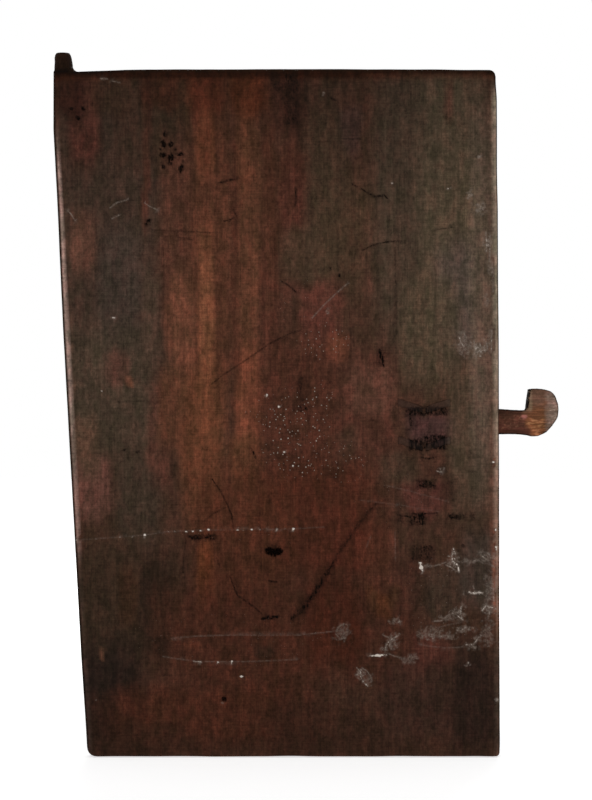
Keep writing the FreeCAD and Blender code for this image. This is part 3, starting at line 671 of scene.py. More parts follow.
# how the marks on the face are cut: how much their rims fray by grit and by strokes of the grain, in
# millimetres for the stains and the slot, and where the cut begins and is full
markCut = {
    "stain": {"fray": (1.6, 2.4), "limits": (1.4, -1.6), "strength": 1.15},
    "gouge": {"wide": 0.72, "fray": 0.5, "strength": 1.15},
    "pit": {"wide": (1.3, 1.35), "fray": (0.45, 0.5), "limits": (1.25, 0.6)},
    "slot": {"fray": (0.8, 1.4), "limits": (0.4, -1.1), "sootAndShadeShare": (1.5, -0.6)},
    "seat": {"limits": (0.0, -0.9), "sootAndShade": 0.4, "sootAndShadeShare": (0.9, -0.3), "fray": 0.8},
    "scratch": {"wide": 0.55, "fray": 0.4, "strength": 0.8},
    "lime": {"limits": (1.35, 0.4), "fray": 0.8, "small": 3, "smallFray": 0.25},
    "specks": (1.2, 0.5),
}


def markNoise(points):
    # what frays the marks' rims: grit, and short upright strokes of the grain
    return wander(points, plankWear["grit"], 4.0), wander(points, plankWear["stroke"], 41.0, 2)


def stainShare(points):
    # how far the rubbed-in soot covers a place on the face, in ragged upright strokes
    flat, form = points[:, [0, 2]], markCut["stain"]
    rough, strokes = markNoise(points)
    fray = form["fray"][0] * rough + form["fray"][1] * strokes
    sootAndShade = np.zeros(len(points))
    for *stain, dark in faceMarks["stains"]:
        share = smooth(*form["limits"], stainDistance(flat, *stain) + fray)
        sootAndShade = np.maximum(sootAndShade, form["strength"] * dark * share * (0.8 + 0.8 * strokes))
    return sootAndShade


def refineFace(plank):
    # smaller faces where the inner face has fine marks, and a little round each
    middles = np.empty(len(plank.data.polygons) * 3)
    plank.data.polygons.foreach_get("center", middles)
    middles = middles.reshape(-1, 3) * 1000.0
    flat = middles[:, [0, 2]]
    finer = plankWear["finer"]
    wanted = (slotDistance(flat) < finer["slot"]) | (np.abs(ironDistance(flat)) < finer["iron"])
    share, more = finer["lines"]
    for line, width, *_ in faceMarks["dark"] + faceMarks["pale"]:
        wanted |= lineDistance(flat, line)[0] < share * width + more
    for kind in ("pits", "lime"):
        for across, down, halfWide, halfHigh, *_ in faceMarks[kind]:
            wanted |= blob(flat, across, down, halfWide + finer[kind], halfHigh + finer[kind]) < 1
    for *stain, dark in faceMarks["stains"]:
        if dark > finer["darkFrom"]:
            wanted |= stainDistance(flat, *stain) < finer["stains"]
    wanted &= middles[:, 1] < finer["face"]
    chosen = iter(wanted)
    pick(plank, "faces", lambda middle, normal: next(chosen))
    bpy.ops.mesh.subdivide(number_cuts=3)
    leaveEdit()


def hewPlank(points, inner, outer):
    # how deep tools and handling have gone in everywhere
    wear, up = plankWear, points[:, 2]
    cut = uneven(points, wear["overall"])
    cut += inner * uneven(points, wear["innerStrokes"])
    cut += outer * wear["adzeDepth"] * (1 - scallops(points, wear["adzeDish"], 2.0))
    cut += (1 - inner) * (1 - outer) * uneven(points, wear["edges"])
    cut += smooth(wear["footFrom"], wear["footTo"], up) * uneven(points, wear["foot"])
    return cut * (1 - wear["pegSpared"] * smooth(-4.0, 0.0, up))


def markFace(points, inner, cut):
    # gouges, pits, the old slot and the iron's seats: the deeper cut, and the soot that fills them
    flat, sootAndShade = points[:, [0, 2]], np.zeros(len(points))
    rough, strokes = markNoise(points)
    form = markCut["gouge"]
    for line, width, depth, dark in faceMarks["dark"]:
        away, share = lineDistance(flat, line)
        taper = 0.5 + 0.5 * np.sqrt(np.sin(np.pi * share.clip(0.02, 0.98)))
        wide = form["wide"] * width * taper * (1 + form["fray"] * rough)
        groove = np.exp(-(away / wide) ** 2) * inner
        cut += depth * groove
        sootAndShade = np.maximum(sootAndShade, form["strength"] * dark * groove * (0.85 + 0.5 * strokes))
    form = markCut["pit"]
    fray = form["fray"][0] * rough + form["fray"][1] * strokes
    for across, down, halfWide, halfHigh, depth, dark in faceMarks["pits"]:
        near = blob(flat, across, down, form["wide"][0] * halfWide, form["wide"][1] * halfHigh) + fray
        hole = smooth(*form["limits"], near) * inner
        cut += depth * hole
        sootAndShade = np.maximum(sootAndShade, dark * hole)
    form = markCut["slot"]
    fromSlot = slotDistance(flat) + form["fray"][0] * rough + form["fray"][1] * strokes
    cut = np.maximum(cut, oldSlot["depth"] * smooth(*form["limits"], fromSlot) * inner)
    sootAndShade = np.maximum(sootAndShade, smooth(*form["sootAndShadeShare"], fromSlot) * inner)
    form, iron = markCut["seat"], ironDistance(flat)
    seat = stapleForm["skin"] + stapleForm["seatClear"]
    cut = np.maximum(cut, seat * smooth(*form["limits"], iron) * inner)
    outside, inside = form["sootAndShadeShare"]
    sootAndShadeShare = smooth(outside + form["fray"] * rough, inside, iron)
    sootAndShade = np.maximum(sootAndShade, form["sootAndShade"] * sootAndShadeShare * inner)
    return cut, np.maximum(sootAndShade, stainShare(points) * inner)


def bowEdges(moved, points):
    # the top edge rises a little in its middle, and both upright edges bow out between the corners
    wear, across, up = plankWear, points[:, 0], points[:, 2]
    rise, middle, wide = wear["crownHump"]
    crown = rise * np.exp(-((across - middle) / wide) ** 2)
    for rise, low, high in wear["crown"]:
        crown += rise * smooth(low, high, across)
    moved[:, 2] += crown * smooth(*wear["crownReach"], up)
    fromEdge = {"left": across - plankLeft(up), "right": plankRight(up) - across}
    for side, far, high, low in wear["bows"]:
        bow = far * smooth(high, low, up) * smooth(*wear["bowReach"], fromEdge[side])
        moved[:, 0] += bow if side == "right" else -bow


def layLime(points):
    # lime, pale scratches and specks: how far each covers a place on the face
    flat = points[:, [0, 2]]
    rough, curl = wander(points, plankWear["grit"], 4.0), wander(points, plankWear["curl"], 57.0, 3)
    lime, pale, specks = np.zeros((3, len(points)))
    form = markCut["scratch"]
    for line, width, strength in faceMarks["pale"]:
        wide = form["wide"] * width * (1 + form["fray"] * rough)
        pale = np.maximum(pale, strength * np.exp(-(lineDistance(flat, line)[0] / wide) ** 2))
    pale *= form["strength"]
    form = markCut["lime"]
    for *patch, cover in faceMarks["lime"]:
        small = max(patch[2:]) < form["small"]
        fray = form["smallFray"] * rough if small else form["fray"] * curl
        lime = np.maximum(lime, cover * smooth(*form["limits"], blob(flat, *patch) + fray))
    for *patch, many in faceMarks["specks"]:
        specks = np.maximum(specks, many * smooth(*markCut["specks"], blob(flat, *patch)))
    return lime, pale, specks


def wearPlank(plank):
    # hewing, handling, pits and gouges, all cut into the board; then its colours
    refineFace(plank)
    wear = plankWear
    points, normals = places(plank), vertexNormals(plank)
    inner = smooth(wear["faceFrom"], wear["faceTo"], -points[:, 1])
    outer = smooth(wear["faceFrom"], wear["faceTo"], points[:, 1])
    cut, sootAndShade = markFace(points, inner, hewPlank(points, inner, outer))
    moved = points - normals * cut[:, None]
    bowEdges(moved, points)
    putBack(plank, moved)

    lime, scratch, specks = layLime(points)
    paint(plank, "tone", plankColours(points, outer))
    paint(plank, "sootAndShade", sootAndShade)
    paint(plank, "lime", lime * inner)
    paint(plank, "scratch", scratch * inner)
    paint(plank, "specks", specks * inner)
    paint(plank, "weather", outer)


# colours of the plank beside its face tones, and of its rubbed and smoked rims, in millimetres
plankPaint = {
    "face": "#3f2c23", "peg": "#1d120b", "pegFrom": -5.5,
    # the tones' limits waver by this much, and are this square and this soft
    "waver": ((3.0, (16, 30, 40), 11.0, 2), (9.0, (16, 30, 50), 12.0, 1)),
    "square": 3.5, "soft": (1.3, 0.6),
    # painted shade: the top darkest and the foot a little darker, where less light falls
    "paintedShade": ((0.36, 250, 70), (0.12, 480, 600)),         # strength, and pixels down the photograph
    # the outer face, and its streaks: colour, strength, the noise's limits, sizes, seed and octaves
    "weather": "#4d4239",
    "streaks": (("#42342b", 1.0, (-0.5, 0.6), (13, 60, 300), 21.0, 3),
                ("#44291d", 0.5, (0.0, 0.7), (40, 60, 230), 29.0, 2)),
    # rims: strength, colour, and where they begin and are full, from the edge and along it
    "glow": (0.5, "#381d12", (13.0, 6.0)),
    "topRim": (0.97, "#1d0e07", (2.5, -3.0)), "topRagged": (1.5, (7, 9, 4), 61.0, 2),
    # painted shade: the top bevel, which faces the top lamp, painted near black
    "topBevelShade": (0.98, "#0a0504", (3.6, 1.8)),
    "topWide": 5.5, "topWider": ((3.5, 345, 285), (-2.0, 60, 20)),   # and how that changes along x
    # the right rim's red and pink bands: partly rubbed wear, partly painted highlight
    "red": (0.9, "#6b483b", (8.0, 5.0), (-300, -350), (-590, -535)),
    "pink": (0.8, "#765a50", (-395, -440)),
    "arris": (0.8, "#150d0a", (2.6, 1.5), (1.5, 0.7)),               # left and right
    "front": (2.0, -6.0),                                            # the rubbing and the painted highlight end round the edge
    # pale rims, partly rubbed wear and partly painted highlight where the arris catches the side lamps:
    # strength, colour, outer and inner limits from the edge, height where it begins, fadings
    "left": (1.0, "#93807a", (4.6, 3.6), (1.7, 2.6), (-50, -140), ((0.45, -340, -380), (0.5, -478, -510))),
    "right": (0.9, "#84796d", (4.2, 3.0), (1.0, 2.0), (-10, -45), ((0.45, -485, -510), (0.45, -545, -570))),
}


def innerTone(points):
    # the inner face's tones, and painted shade that darkens its top most and its foot a little
    form = plankPaint
    waver = np.stack([far * wander(points, *noiseOf) for far, *noiseOf in form["waver"]], axis=1)
    flat = points[:, [0, 2]] + waver
    tone = plainTone(points, form["face"])
    for *patch, colour, strength in faceTones:
        near = blob(flat, *patch, form["square"])
        tone = blend(tone, strength * smooth(*form["soft"], near), colour)
    down = photoScale["down"] - points[:, 2] / photoScale["pixel"]
    paintedShade = sum(part * smooth(start, end, down) for part, start, end in form["paintedShade"])
    return tone * (1 - paintedShade)[:, None]


def outerTone(points):
    # greyer with weather, in long streaks
    tone = plainTone(points, plankPaint["weather"])
    for colour, strength, limits, *noiseOf in plankPaint["streaks"]:
        tone = blend(tone, strength * smooth(*limits, wander(points, *noiseOf)), colour)
    return tone


# a pale rim: partly rubbed wear, partly painted highlight where the arris catches the side lamps
def paleRim(side, fromEdge, up):
    outside, inside, begins, fadings = plankPaint[side][2:]
    fade = sum(part * smooth(high, low, up) for part, high, low in fadings)
    return smooth(*outside, fromEdge) * smooth(*inside, fromEdge) * smooth(*begins, up) * (1 - fade)


def darkTopBand(points, fromTop):
    # darker along the top, in a band that narrows towards the closing edge
    form = plankPaint
    wide = form["topWide"] + sum(more * smooth(*ends, points[:, 0]) for more, *ends in form["topWider"])
    far, *noiseOf = form["topRagged"]
    return smooth(*form["topRim"][2], fromTop - wide + far * wander(points, *noiseOf))


def rimShares(points, outer):
    # how far each rim's colour lies over the rest, in their order: the top line is painted shade on the top
    # bevel, and the pale, pink and red side rims are partly rubbed wear, partly painted highlight
    form, across, up = plankPaint, points[:, 0], points[:, 2]
    fromLeft, fromRight, fromTop = across - plankLeft(up), plankRight(up) - across, plankTop(across) - up
    front, notOuter = smooth(*form["front"], points[:, 1]), 1 - outer
    patchy = 0.8 + 0.8 * wander(points, (9, 9, 17), 31.0, 2)
    along = 1 + 0.6 * wander(points, (60, 60, 34), 33.0)
    fromEdge, begins, ends = form["red"][2:]
    redRim = smooth(*fromEdge, fromRight) * smooth(*begins, up) * smooth(*ends, up)
    leftRim, rightRim = paleRim("left", fromLeft, up), paleRim("right", fromRight, up)
    onLeft, onRight = form["arris"][2:]
    return {
        "glow": smooth(*form["glow"][2], fromTop) * notOuter,
        "topRim": darkTopBand(points, fromTop) * notOuter,
        "red": redRim * front * patchy,
        "left": leftRim * front * along,
        "right": rightRim * front * along,
        "pink": rightRim * smooth(*form["pink"][2], up) * front,
        "arris": np.maximum(smooth(*onLeft, fromLeft), smooth(*onRight, fromRight)) * front,
        "topBevelShade": smooth(*form["topBevelShade"][2], fromTop + 0.5 * along) * notOuter,
    }


def plankColours(points, outer):
    tone = blend(innerTone(points), outer, outerTone(points))
    for name, share in rimShares(points, outer).items():
        strength, colour = plankPaint[name][:2]
        tone = blend(tone, strength * share, colour)
    peg = (points[:, 2] > plankPaint["pegFrom"])[:, None]
    return np.where(peg, np.array(linear(plankPaint["peg"])), tone)


wearPlank(doorPlank)
print("plank worn", len(doorPlank.data.polygons), "faces")


# wood, one pattern for every wooden piece: sizes of its figure in millimetres, and strengths
woodForms = {
    # split and hewn hardwood board: dull, dark with smoke, with soot, lime and bird droppings on it
    "hewn hardwood": {
        "along": "z",
        # across the grain, along it, and how much it lightens and darkens
        "grain": (1.4, 26.0, 0.19), "band": (6.5, 120.0, 0.20), "scrape": (24.0, 1.5, 0.17),
        "mottle": (3.2, 4.2, 0.44), "patch": (10.0, 19.0, 0.26),
        "rough": (0.52, 0.8), "relief": 0.4,
    },
    # the case's hardwood, adzed and oiled by hands: a little shine on strong grain
    "adzed hardwood": {
        "along": "z",
        "grain": (1.4, 34.0, 0.34), "band": (7.0, 90.0, 0.28), "scrape": (20.0, 2.4, 0.08),
        "mottle": (3.0, 5.0, 0.3), "patch": (20.0, 50.0, 0.15),
        "rough": (0.42, 0.7), "relief": 0.3,
    },
    # the bolt's hardwood, rubbed smooth and reddish by sliding
    "rubbed hardwood": {
        "along": "x",
        "grain": (1.0, 24.0, 0.34), "band": (3.6, 40.0, 0.30), "scrape": (14.0, 2.0, 0.05),
        "mottle": (2.0, 4.0, 0.3), "patch": (9.0, 20.0, 0.15),
        "rough": (0.34, 0.6), "relief": 0.2,
    },
}
# what lies on the wood: sizes in millimetres, colours
coverForm = {
    "redder": "#c3b1aa", "plain": "#bdb5ad", "greener": "#b8b7aa", "lift": 2.1,
    "check": (2.6, 150.0), "checkDepth": 0.85,
    # the soot colour: real soot on the plank, case and iron, painted shade on the bolt
    "sootAndShade": "#0c0705", "sootGrit": 2.0,
    "limeThin": "#83766c", "limeThick": "#cbbfb4", "crumb": 2.2, "curl": 8.0, "curlLine": 0.035,
    "dotSpacing": 3.6, "dotSize": 0.27,
}


def perMetre(size):
    # a noise's scale from the real size of its waves in millimetres
    return 1000.0 / size


def stretched(form, across, length):
    # a pattern's scale along x, y and z, longer along the wood's grain
    along = "xyz".index(form["along"])
    return [perMetre(length if axis == along else across) for axis in range(3)]


def woodFigure(tree, form, place, tone):
    # grain, broader bands, cross scrapes and mottle lighten and darken the piece's own colour
    cover = coverForm
    figure, strength = {}, None
    for n, part in enumerate(("grain", "band", "scrape", "mottle", "patch")):
        across, length, depth = form[part]
        at = addNode(tree, "Mapping", {"Scale": stretched(form, across, length),
                                       "Location": (3.1 * n, 7.7 * n, 1.9 * n)}, {"Vector": place})
        figure[part] = addNode(tree, "TexNoise", {"Scale": 1.0, "Distortion": 0.2,
                                                  "Detail": 2.5 if part == "patch" else 5.0,
                                                  "Roughness": 0.7 if part == "mottle" else 0.6},
                               {"Vector": at})
        level = addNode(tree, "MapRange", {"From Min": 0.3, "From Max": 0.7,
                                           "To Min": 1 - depth, "To Max": 1 + depth},
                        {"Value": figure[part]})
        if strength:
            level = addNode(tree, "Math", {"operation": "MULTIPLY"}, {0: strength, 1: level})
        strength = level
    figured = addNode(tree, "VectorMath", {"operation": "SCALE"},
                      {0: tone.outputs["Color"], "Scale": strength})
    # some patches run redder and some greener
    hue = addNode(tree, "ValToRGB", links={"Fac": figure["patch"]},
                  stops=((0.34, cover["greener"]), (0.5, cover["plain"]), (0.66, cover["redder"])))
    tinted = addNode(tree, "Mix", {"data_type": "RGBA", "blend_type": "MULTIPLY", 0: 1.0},
                     {6: figured, 7: hue})
    lifted = addNode(tree, "VectorMath", {"operation": "SCALE", "Scale": cover["lift"]},
                     {0: tinted.outputs[2]})
    return figure, lifted


def dryingChecks(tree, form, place, weather):
    # drying checks open along the grain where weather has reached the wood
    at = addNode(tree, "Mapping", {"Scale": stretched(form, *coverForm["check"])}, {"Vector": place})
    split = addNode(tree, "TexNoise", {"Scale": 1.0, "Detail": 3.0, "Distortion": 0.3}, {"Vector": at})
    opened = addNode(tree, "MapRange", {"From Min": 0.63, "From Max": 0.69,
                                        "To Max": coverForm["checkDepth"]}, {"Value": split})
    return addNode(tree, "Math", {"operation": "MULTIPLY"}, {0: opened, 1: weather.outputs["Fac"]})


def sootAndShadeCover(tree, place, sootAndShade, checks):
    # soot lies in the cuts, and on the bolt painted shade lies on what turns away, both fading out raggedly
    grit = addNode(tree, "TexNoise", {"Scale": perMetre(coverForm["sootGrit"]), "Detail": 5.0,
                                      "Roughness": 0.7}, {"Vector": place})
    ragged = addNode(tree, "MapRange", {"From Min": 0.34, "From Max": 0.62,
                                        "To Min": 0.35, "To Max": 1.7}, {"Value": grit})
    sootAndShadeShare = addNode(tree, "Math", {"operation": "MULTIPLY", "use_clamp": True},
                    {0: sootAndShade.outputs["Fac"], 1: ragged})
    return addNode(tree, "Math", {"operation": "MAXIMUM"}, {0: sootAndShadeShare, 1: checks})


def limeWisps(tree, place, lime, crumbs):
    # where lime is thin: fine curled lines in a haze
    curls = addNode(tree, "TexNoise", {"Scale": perMetre(coverForm["curl"]), "Detail": 3.0,
                                       "Distortion": 1.4}, {"Vector": place})
    line = addNode(tree, "Math", {"operation": "COMPARE", 1: 0.5, 2: coverForm["curlLine"]},
                   {0: curls})
    thin = addNode(tree, "MapRange", {"From Min": 0.06, "From Max": 0.6, "To Max": 0.95},
                   {"Value": lime})
    haze = addNode(tree, "MapRange", {"From Min": 0.4, "From Max": 0.68,
                                      "To Min": 0.07, "To Max": 0.85}, {"Value": crumbs})
    wisps = addNode(tree, "Math", {"operation": "MULTIPLY_ADD", 1: 0.3}, {0: line, 2: haze})
    return addNode(tree, "Math", {"operation": "MULTIPLY", "use_clamp": True}, {0: thin, 1: wisps})


def limeSpecks(tree, place, specks):
    # each cell has its own size, and a speck is as bright as it is big
    dots = addNode(tree, "TexVoronoi", {"Scale": perMetre(coverForm["dotSpacing"]),
                                        "Randomness": 1.0}, {"Vector": place})
    chance = addNode(tree, "Math", {"operation": "MULTIPLY"}, {0: specks, 1: dots.outputs["Color"]})
    size = addNode(tree, "Math", {"operation": "MULTIPLY", 1: coverForm["dotSize"]}, {0: chance})
    dot = addNode(tree, "Math", {"operation": "LESS_THAN"}, {0: dots.outputs["Distance"], 1: size})
    bright = addNode(tree, "MapRange", {"From Min": 0.7, "From Max": 1.0, "To Max": 0.7},
                     {"Value": chance})
    return dot, bright


def limeCover(tree, place, layers):
    # lime, plaster and droppings: dense where thick, curling wisps where thin, scratches and specks
    cover = coverForm
    lime, scratch, specks = [layers[n].outputs["Fac"] for n in ("lime", "scratch", "specks")]
    crumbs = addNode(tree, "TexNoise", {"Scale": perMetre(cover["crumb"]), "Detail": 6.0,
                                        "Roughness": 0.7}, {"Vector": place})
    thick = addNode(tree, "Math", {"operation": "ADD"}, {0: lime, 1: crumbs})
    dense = addNode(tree, "MapRange", {"From Min": 1.02, "From Max": 1.3}, {"Value": thick})

    # scratches, broken up by the crumbs
    broken = addNode(tree, "MapRange", {"From Min": 0.38, "From Max": 0.6,
                                        "To Min": 0.15, "To Max": 1.3}, {"Value": crumbs})
    scratched = addNode(tree, "Math", {"operation": "MULTIPLY", "use_clamp": True},
                        {0: scratch, 1: broken})
    scratchBright = addNode(tree, "MapRange", {"From Min": 0.55, "From Max": 0.95},
                            {"Value": scratched})

    dot, dotBright = limeSpecks(tree, place, specks)
    whole, bright = dense, scratchBright
    for layer in (limeWisps(tree, place, lime, crumbs), scratched, dot):
        whole = addNode(tree, "Math", {"operation": "MAXIMUM"}, {0: whole, 1: layer})
    for layer in (dense, dotBright):
        bright = addNode(tree, "Math", {"operation": "MAXIMUM"}, {0: bright, 1: layer})
    colour = addNode(tree, "Mix", {"data_type": "RGBA", 6: cover["limeThin"], 7: cover["limeThick"]},
                     {0: bright})
    return whole, colour


def makeWood(name):
    form = woodForms[name]
    material, tree = newMaterial(name)
    place = addNode(tree, "TexCoord").outputs["Object"]
    layers = {n: addNode(tree, "Attribute", {"attribute_name": n})
              for n in ("tone", "sootAndShade", "lime", "scratch", "specks", "weather")}
    figure, wood = woodFigure(tree, form, place, layers["tone"])
    checks = dryingChecks(tree, form, place, layers["weather"])
    # the soot layer darkens the wood: real soot on the plank and case, painted shade on the bolt
    sootAndShadeShare = sootAndShadeCover(tree, place, layers["sootAndShade"], checks)
    sootedAndShaded = addNode(tree, "Mix", {"data_type": "RGBA", 7: coverForm["sootAndShade"]}, {0: sootAndShadeShare, 6: wood})
    whole, limeColour = limeCover(tree, place, layers)
    limed = addNode(tree, "Mix", {"data_type": "RGBA"},
                    {0: whole, 6: sootedAndShaded.outputs[2], 7: limeColour.outputs[2]})

    # relief: the grain and the mottle stand a little, the crusts too
    height = figure["grain"]
    for layer in (figure["mottle"], figure["scrape"], whole):
        height = addNode(tree, "Math", {"operation": "ADD"}, {0: height, 1: layer})
    height = addNode(tree, "Math", {"operation": "SUBTRACT"}, {0: height, 1: checks})
    relief = addNode(tree, "Bump", {"Strength": 0.8, "Distance": mm(form["relief"])},
                     {"Height": height})
    rubbed, dull = form["rough"]
    gloss = addNode(tree, "MapRange", {"From Min": 0.3, "From Max": 0.7, "To Min": rubbed,
                                       "To Max": dull}, {"Value": figure["band"]})
    gloss = addNode(tree, "Math", {"operation": "MAXIMUM"}, {0: gloss, 1: sootAndShadeShare})
    shader = addNode(tree, "BsdfPrincipled", {"Specular IOR Level": 0.03},
                     {"Base Color": limed.outputs[2], "Roughness": gloss, "Normal": relief})
    addNode(tree, "OutputMaterial", links={"Surface": shader})
    return material


# hand-forged iron: black scale, hammered, with rust in the hollows; sizes in millimetres
ironForm = {"scale": "#0e0907", "brown": "#1a100c", "rust": "#301c13", "rustPatch": 9.0,
            "grime": 3.0, "grit": 1.6, "relief": 0.25, "rough": (0.45, 0.8), "bareMetal": 0.35}


def soilIron(tree, place, colour):
    # smoke and dirt the colour of the door lie over the beaten ends, with soot on them
    layers = {n: addNode(tree, "Attribute", {"attribute_name": n}) for n in ("tone", "sootAndShade", "dirt")}
    dirt = layers["dirt"].outputs["Fac"]
    blotch = addNode(tree, "TexNoise", {"Scale": perMetre(ironForm["grime"]), "Detail": 5.0,
                                        "Roughness": 0.7}, {"Vector": place})
    strength = addNode(tree, "MapRange", {"From Min": 0.3, "From Max": 0.7,
                                          "To Min": 0.6, "To Max": 1.35}, {"Value": blotch})
    grime = addNode(tree, "VectorMath", {"operation": "SCALE"},
                    {0: layers["tone"].outputs["Color"], "Scale": strength})
    sootedAndShaded = addNode(tree, "Mix", {"data_type": "RGBA", 7: coverForm["sootAndShade"]},
                     {0: layers["sootAndShade"].outputs["Fac"], 6: grime})
    soiled = addNode(tree, "Mix", {"data_type": "RGBA"}, {0: dirt, 6: colour, 7: sootedAndShaded.outputs[2]})
    return soiled, addNode(tree, "Math", {"operation": "SUBTRACT", 0: 1.0}, {1: dirt})


def makeIron():
    form = ironForm
    material, tree = newMaterial("forged iron")
    place = addNode(tree, "TexCoord").outputs["Object"]
    rust = addNode(tree, "TexNoise", {"Scale": perMetre(form["rustPatch"]), "Detail": 6.0,
                                      "Roughness": 0.65}, {"Vector": place})
    colour = addNode(tree, "ValToRGB", links={"Fac": rust},
                     stops=((0.36, form["scale"]), (0.52, form["brown"]), (0.68, form["rust"])))
    soiled, bare = soilIron(tree, place, colour)
    fine = addNode(tree, "TexNoise", {"Scale": perMetre(form["grit"]), "Detail": 5.0},
                   {"Vector": place})
    relief = addNode(tree, "Bump", {"Strength": 0.8, "Distance": mm(form["relief"])},
                     {"Height": fine})
    smoothest, roughest = form["rough"]
    gloss = addNode(tree, "MapRange", {"To Min": smoothest, "To Max": roughest}, {"Value": rust})
    metal = addNode(tree, "MapRange", {"From Min": 0.42, "From Max": 0.6, "To Min": form["bareMetal"],
                                       "To Max": 0.0}, {"Value": rust})
    metal = addNode(tree, "Math", {"operation": "MULTIPLY"}, {0: metal, 1: bare})
    shader = addNode(tree, "BsdfPrincipled", {"Specular IOR Level": 0.04},
                     {"Base Color": soiled.outputs[2], "Roughness": gloss, "Metallic": metal,
                      "Normal": relief})
    addNode(tree, "OutputMaterial", links={"Surface": shader})
    return material


hewnWood, adzedWood, rubbedWood = [makeWood(name) for name in woodForms]
forgedIron = makeIron()
print("materials made")
hand(doorPlank, "leaf", "door_plank", hewnWood)


# lock case: a solid block tapered to its foot and shoulders under a low crown, all in millimetres
lockPlace = (369.0, -363.0)      # the lock's middle on the plank's outer face
caseForm = {
    "back": 12.0, "front": 58.0, "frontWear": 4.0,
    "footHalf": 29.0, "foot": -78.0, "beltHalf": 33.0, "belt": 30.0, "shoulderHalf": 25.0,
    "shoulder": 81.0, "crown": 94.0, "crownFacets": 8,
    "channelHalf": 13.7, "channelDepth": 20.7,
    "grooveHalf": 3.5, "grooveDepth": 11.0, "grooveTop": 42.6, "stepDepth": 14.0, "step": 24.3,
    "voxel": 1.35, "dish": (13.0, 13.0, 17.0), "dishDepth": 0.75,
    "wear": (0.25, (25, 25, 40), 6.0, 2), "wearFrom": (0.4, 2.0),
    # inside: painted shade for the channel and grooves
    "tone": "#35241b", "worn": "#6a4732", "inside": "#2b1d15", "insideHalf": 20.0,
    "ridges": (0.35, 0.5, 0.9), "edges": (0.5, 6.0, 1.0),    # how strongly they are worn, from and to
    "sootAndShade": (0.3, 0.4, 0.8), "sootPatch": ((12, 12, 30), 14.0, 3),
}
tumblerForm = {
    "places": [(n - 1.5) * 10.5 for n in range(4)], "half": 2.95,
    "back": 12.5, "front": 22.5, "nibFront": 25.5, "nib": 34.6, "foot": 13.6, "top": 39.6,
    "arris": 0.7, "voxel": 0.45, "wear": 0.08, "tone": "#5b3c2b",
}
overrun = 2.0                    # how far a cutting block stands out past what it cuts
slack = 0.1                      # how near to a face a corner counts as on it


def caseCorners():
    # the case's outline seen from the front, its crown a low arc in facets
    form = caseForm
    rise = form["crown"] - form["shoulder"]
    radius = (form["shoulderHalf"] ** 2 + rise ** 2) / (2 * rise)
    corners = [(-form["footHalf"], form["foot"]), (form["footHalf"], form["foot"]),
               (form["beltHalf"], -form["belt"]), (form["beltHalf"], form["belt"])]
    for n in range(form["crownFacets"] + 1):
        across = form["shoulderHalf"] * (1 - 2 * n / form["crownFacets"])
        corners.append((across, form["crown"] - radius + math.sqrt(radius ** 2 - across ** 2)))
    return corners + [(-form["beltHalf"], form["belt"]), (-form["beltHalf"], -form["belt"])]


def inLock(across, up):
    return across + lockPlace[0], up + lockPlace[1]


def lockPoints(points):
    # places measured from the lock's middle
    return points - np.array([lockPlace[0], 0, lockPlace[1]])


def lockBlock(name, acrossRange, depthRange, upRange):
    (left, low), (right, high) = inLock(acrossRange[0], upRange[0]), inLock(acrossRange[1], upRange[1])
    return block(name, (left, depthRange[0], low), (right, depthRange[1], high))


def sliceLine(piece, start, end):
    # cuts away what lies to the right of a line drawn on the lock's front
    (x1, z1), (x2, z2) = start, end
    run = math.hypot(x2 - x1, z2 - z1)
    across, up = inLock(x1, z1)
    sliceOff(piece, (across, 0, up), ((z2 - z1) / run, 0, -(x2 - x1) / run))


def carveCase(case):
    # the bolt's channel and the tumblers' stepped grooves are chiselled into its back
    form, back = caseForm, caseForm["back"]
    channel = form["channelHalf"]
    carve(case, lockBlock("channelTool", (-60, 60), (back - overrun, back + form["channelDepth"]),
                          (-channel, channel)))
    for across in tumblerForm["places"]:
        span = (across - form["grooveHalf"], across + form["grooveHalf"])
        for depth, foot in ((form["grooveDepth"], 0), (form["stepDepth"], form["step"])):
            carve(case, lockBlock("grooveTool", span, (back - overrun, back + depth),
                                  (foot, form["grooveTop"])))
    # the cuts leave slivers open at the rims
    editAll(case)
    bpy.ops.mesh.fill_holes(sides=4)
    leaveEdit()


def caseTone(points):
    # paler on the ridges and along the front's edges, and painted shade inside the channel and grooves
    form, deep = caseForm, points[:, 1] - caseForm["back"]
    across, up = np.abs(lockPoints(points)[:, 0]), lockPoints(points)[:, 2]
    inside = (np.abs(up) < form["channelHalf"] + slack) & (deep < form["channelDepth"] + slack)
    inGrooves = (across < form["insideHalf"]) & (up > 0) & (up < form["grooveTop"] + slack)
    inside |= inGrooves & (deep < form["stepDepth"] + slack)
    strength, *limits = form["ridges"]
    ridges = strength * smooth(*limits, scallops(points, form["dish"], 5.0))
    strength, *limits = form["edges"]
    edges = strength * smooth(*limits, form["front"] - points[:, 1])
    edges *= 0.5 + 0.5 * wander(points, (14, 14, 14), 9.0)
    tone = blend(plainTone(points, form["tone"]), ridges + edges, form["worn"])
    # painted shade: the channel and grooves take one darker colour
    return np.where(inside[:, None], np.array(linear(form["inside"])), tone)


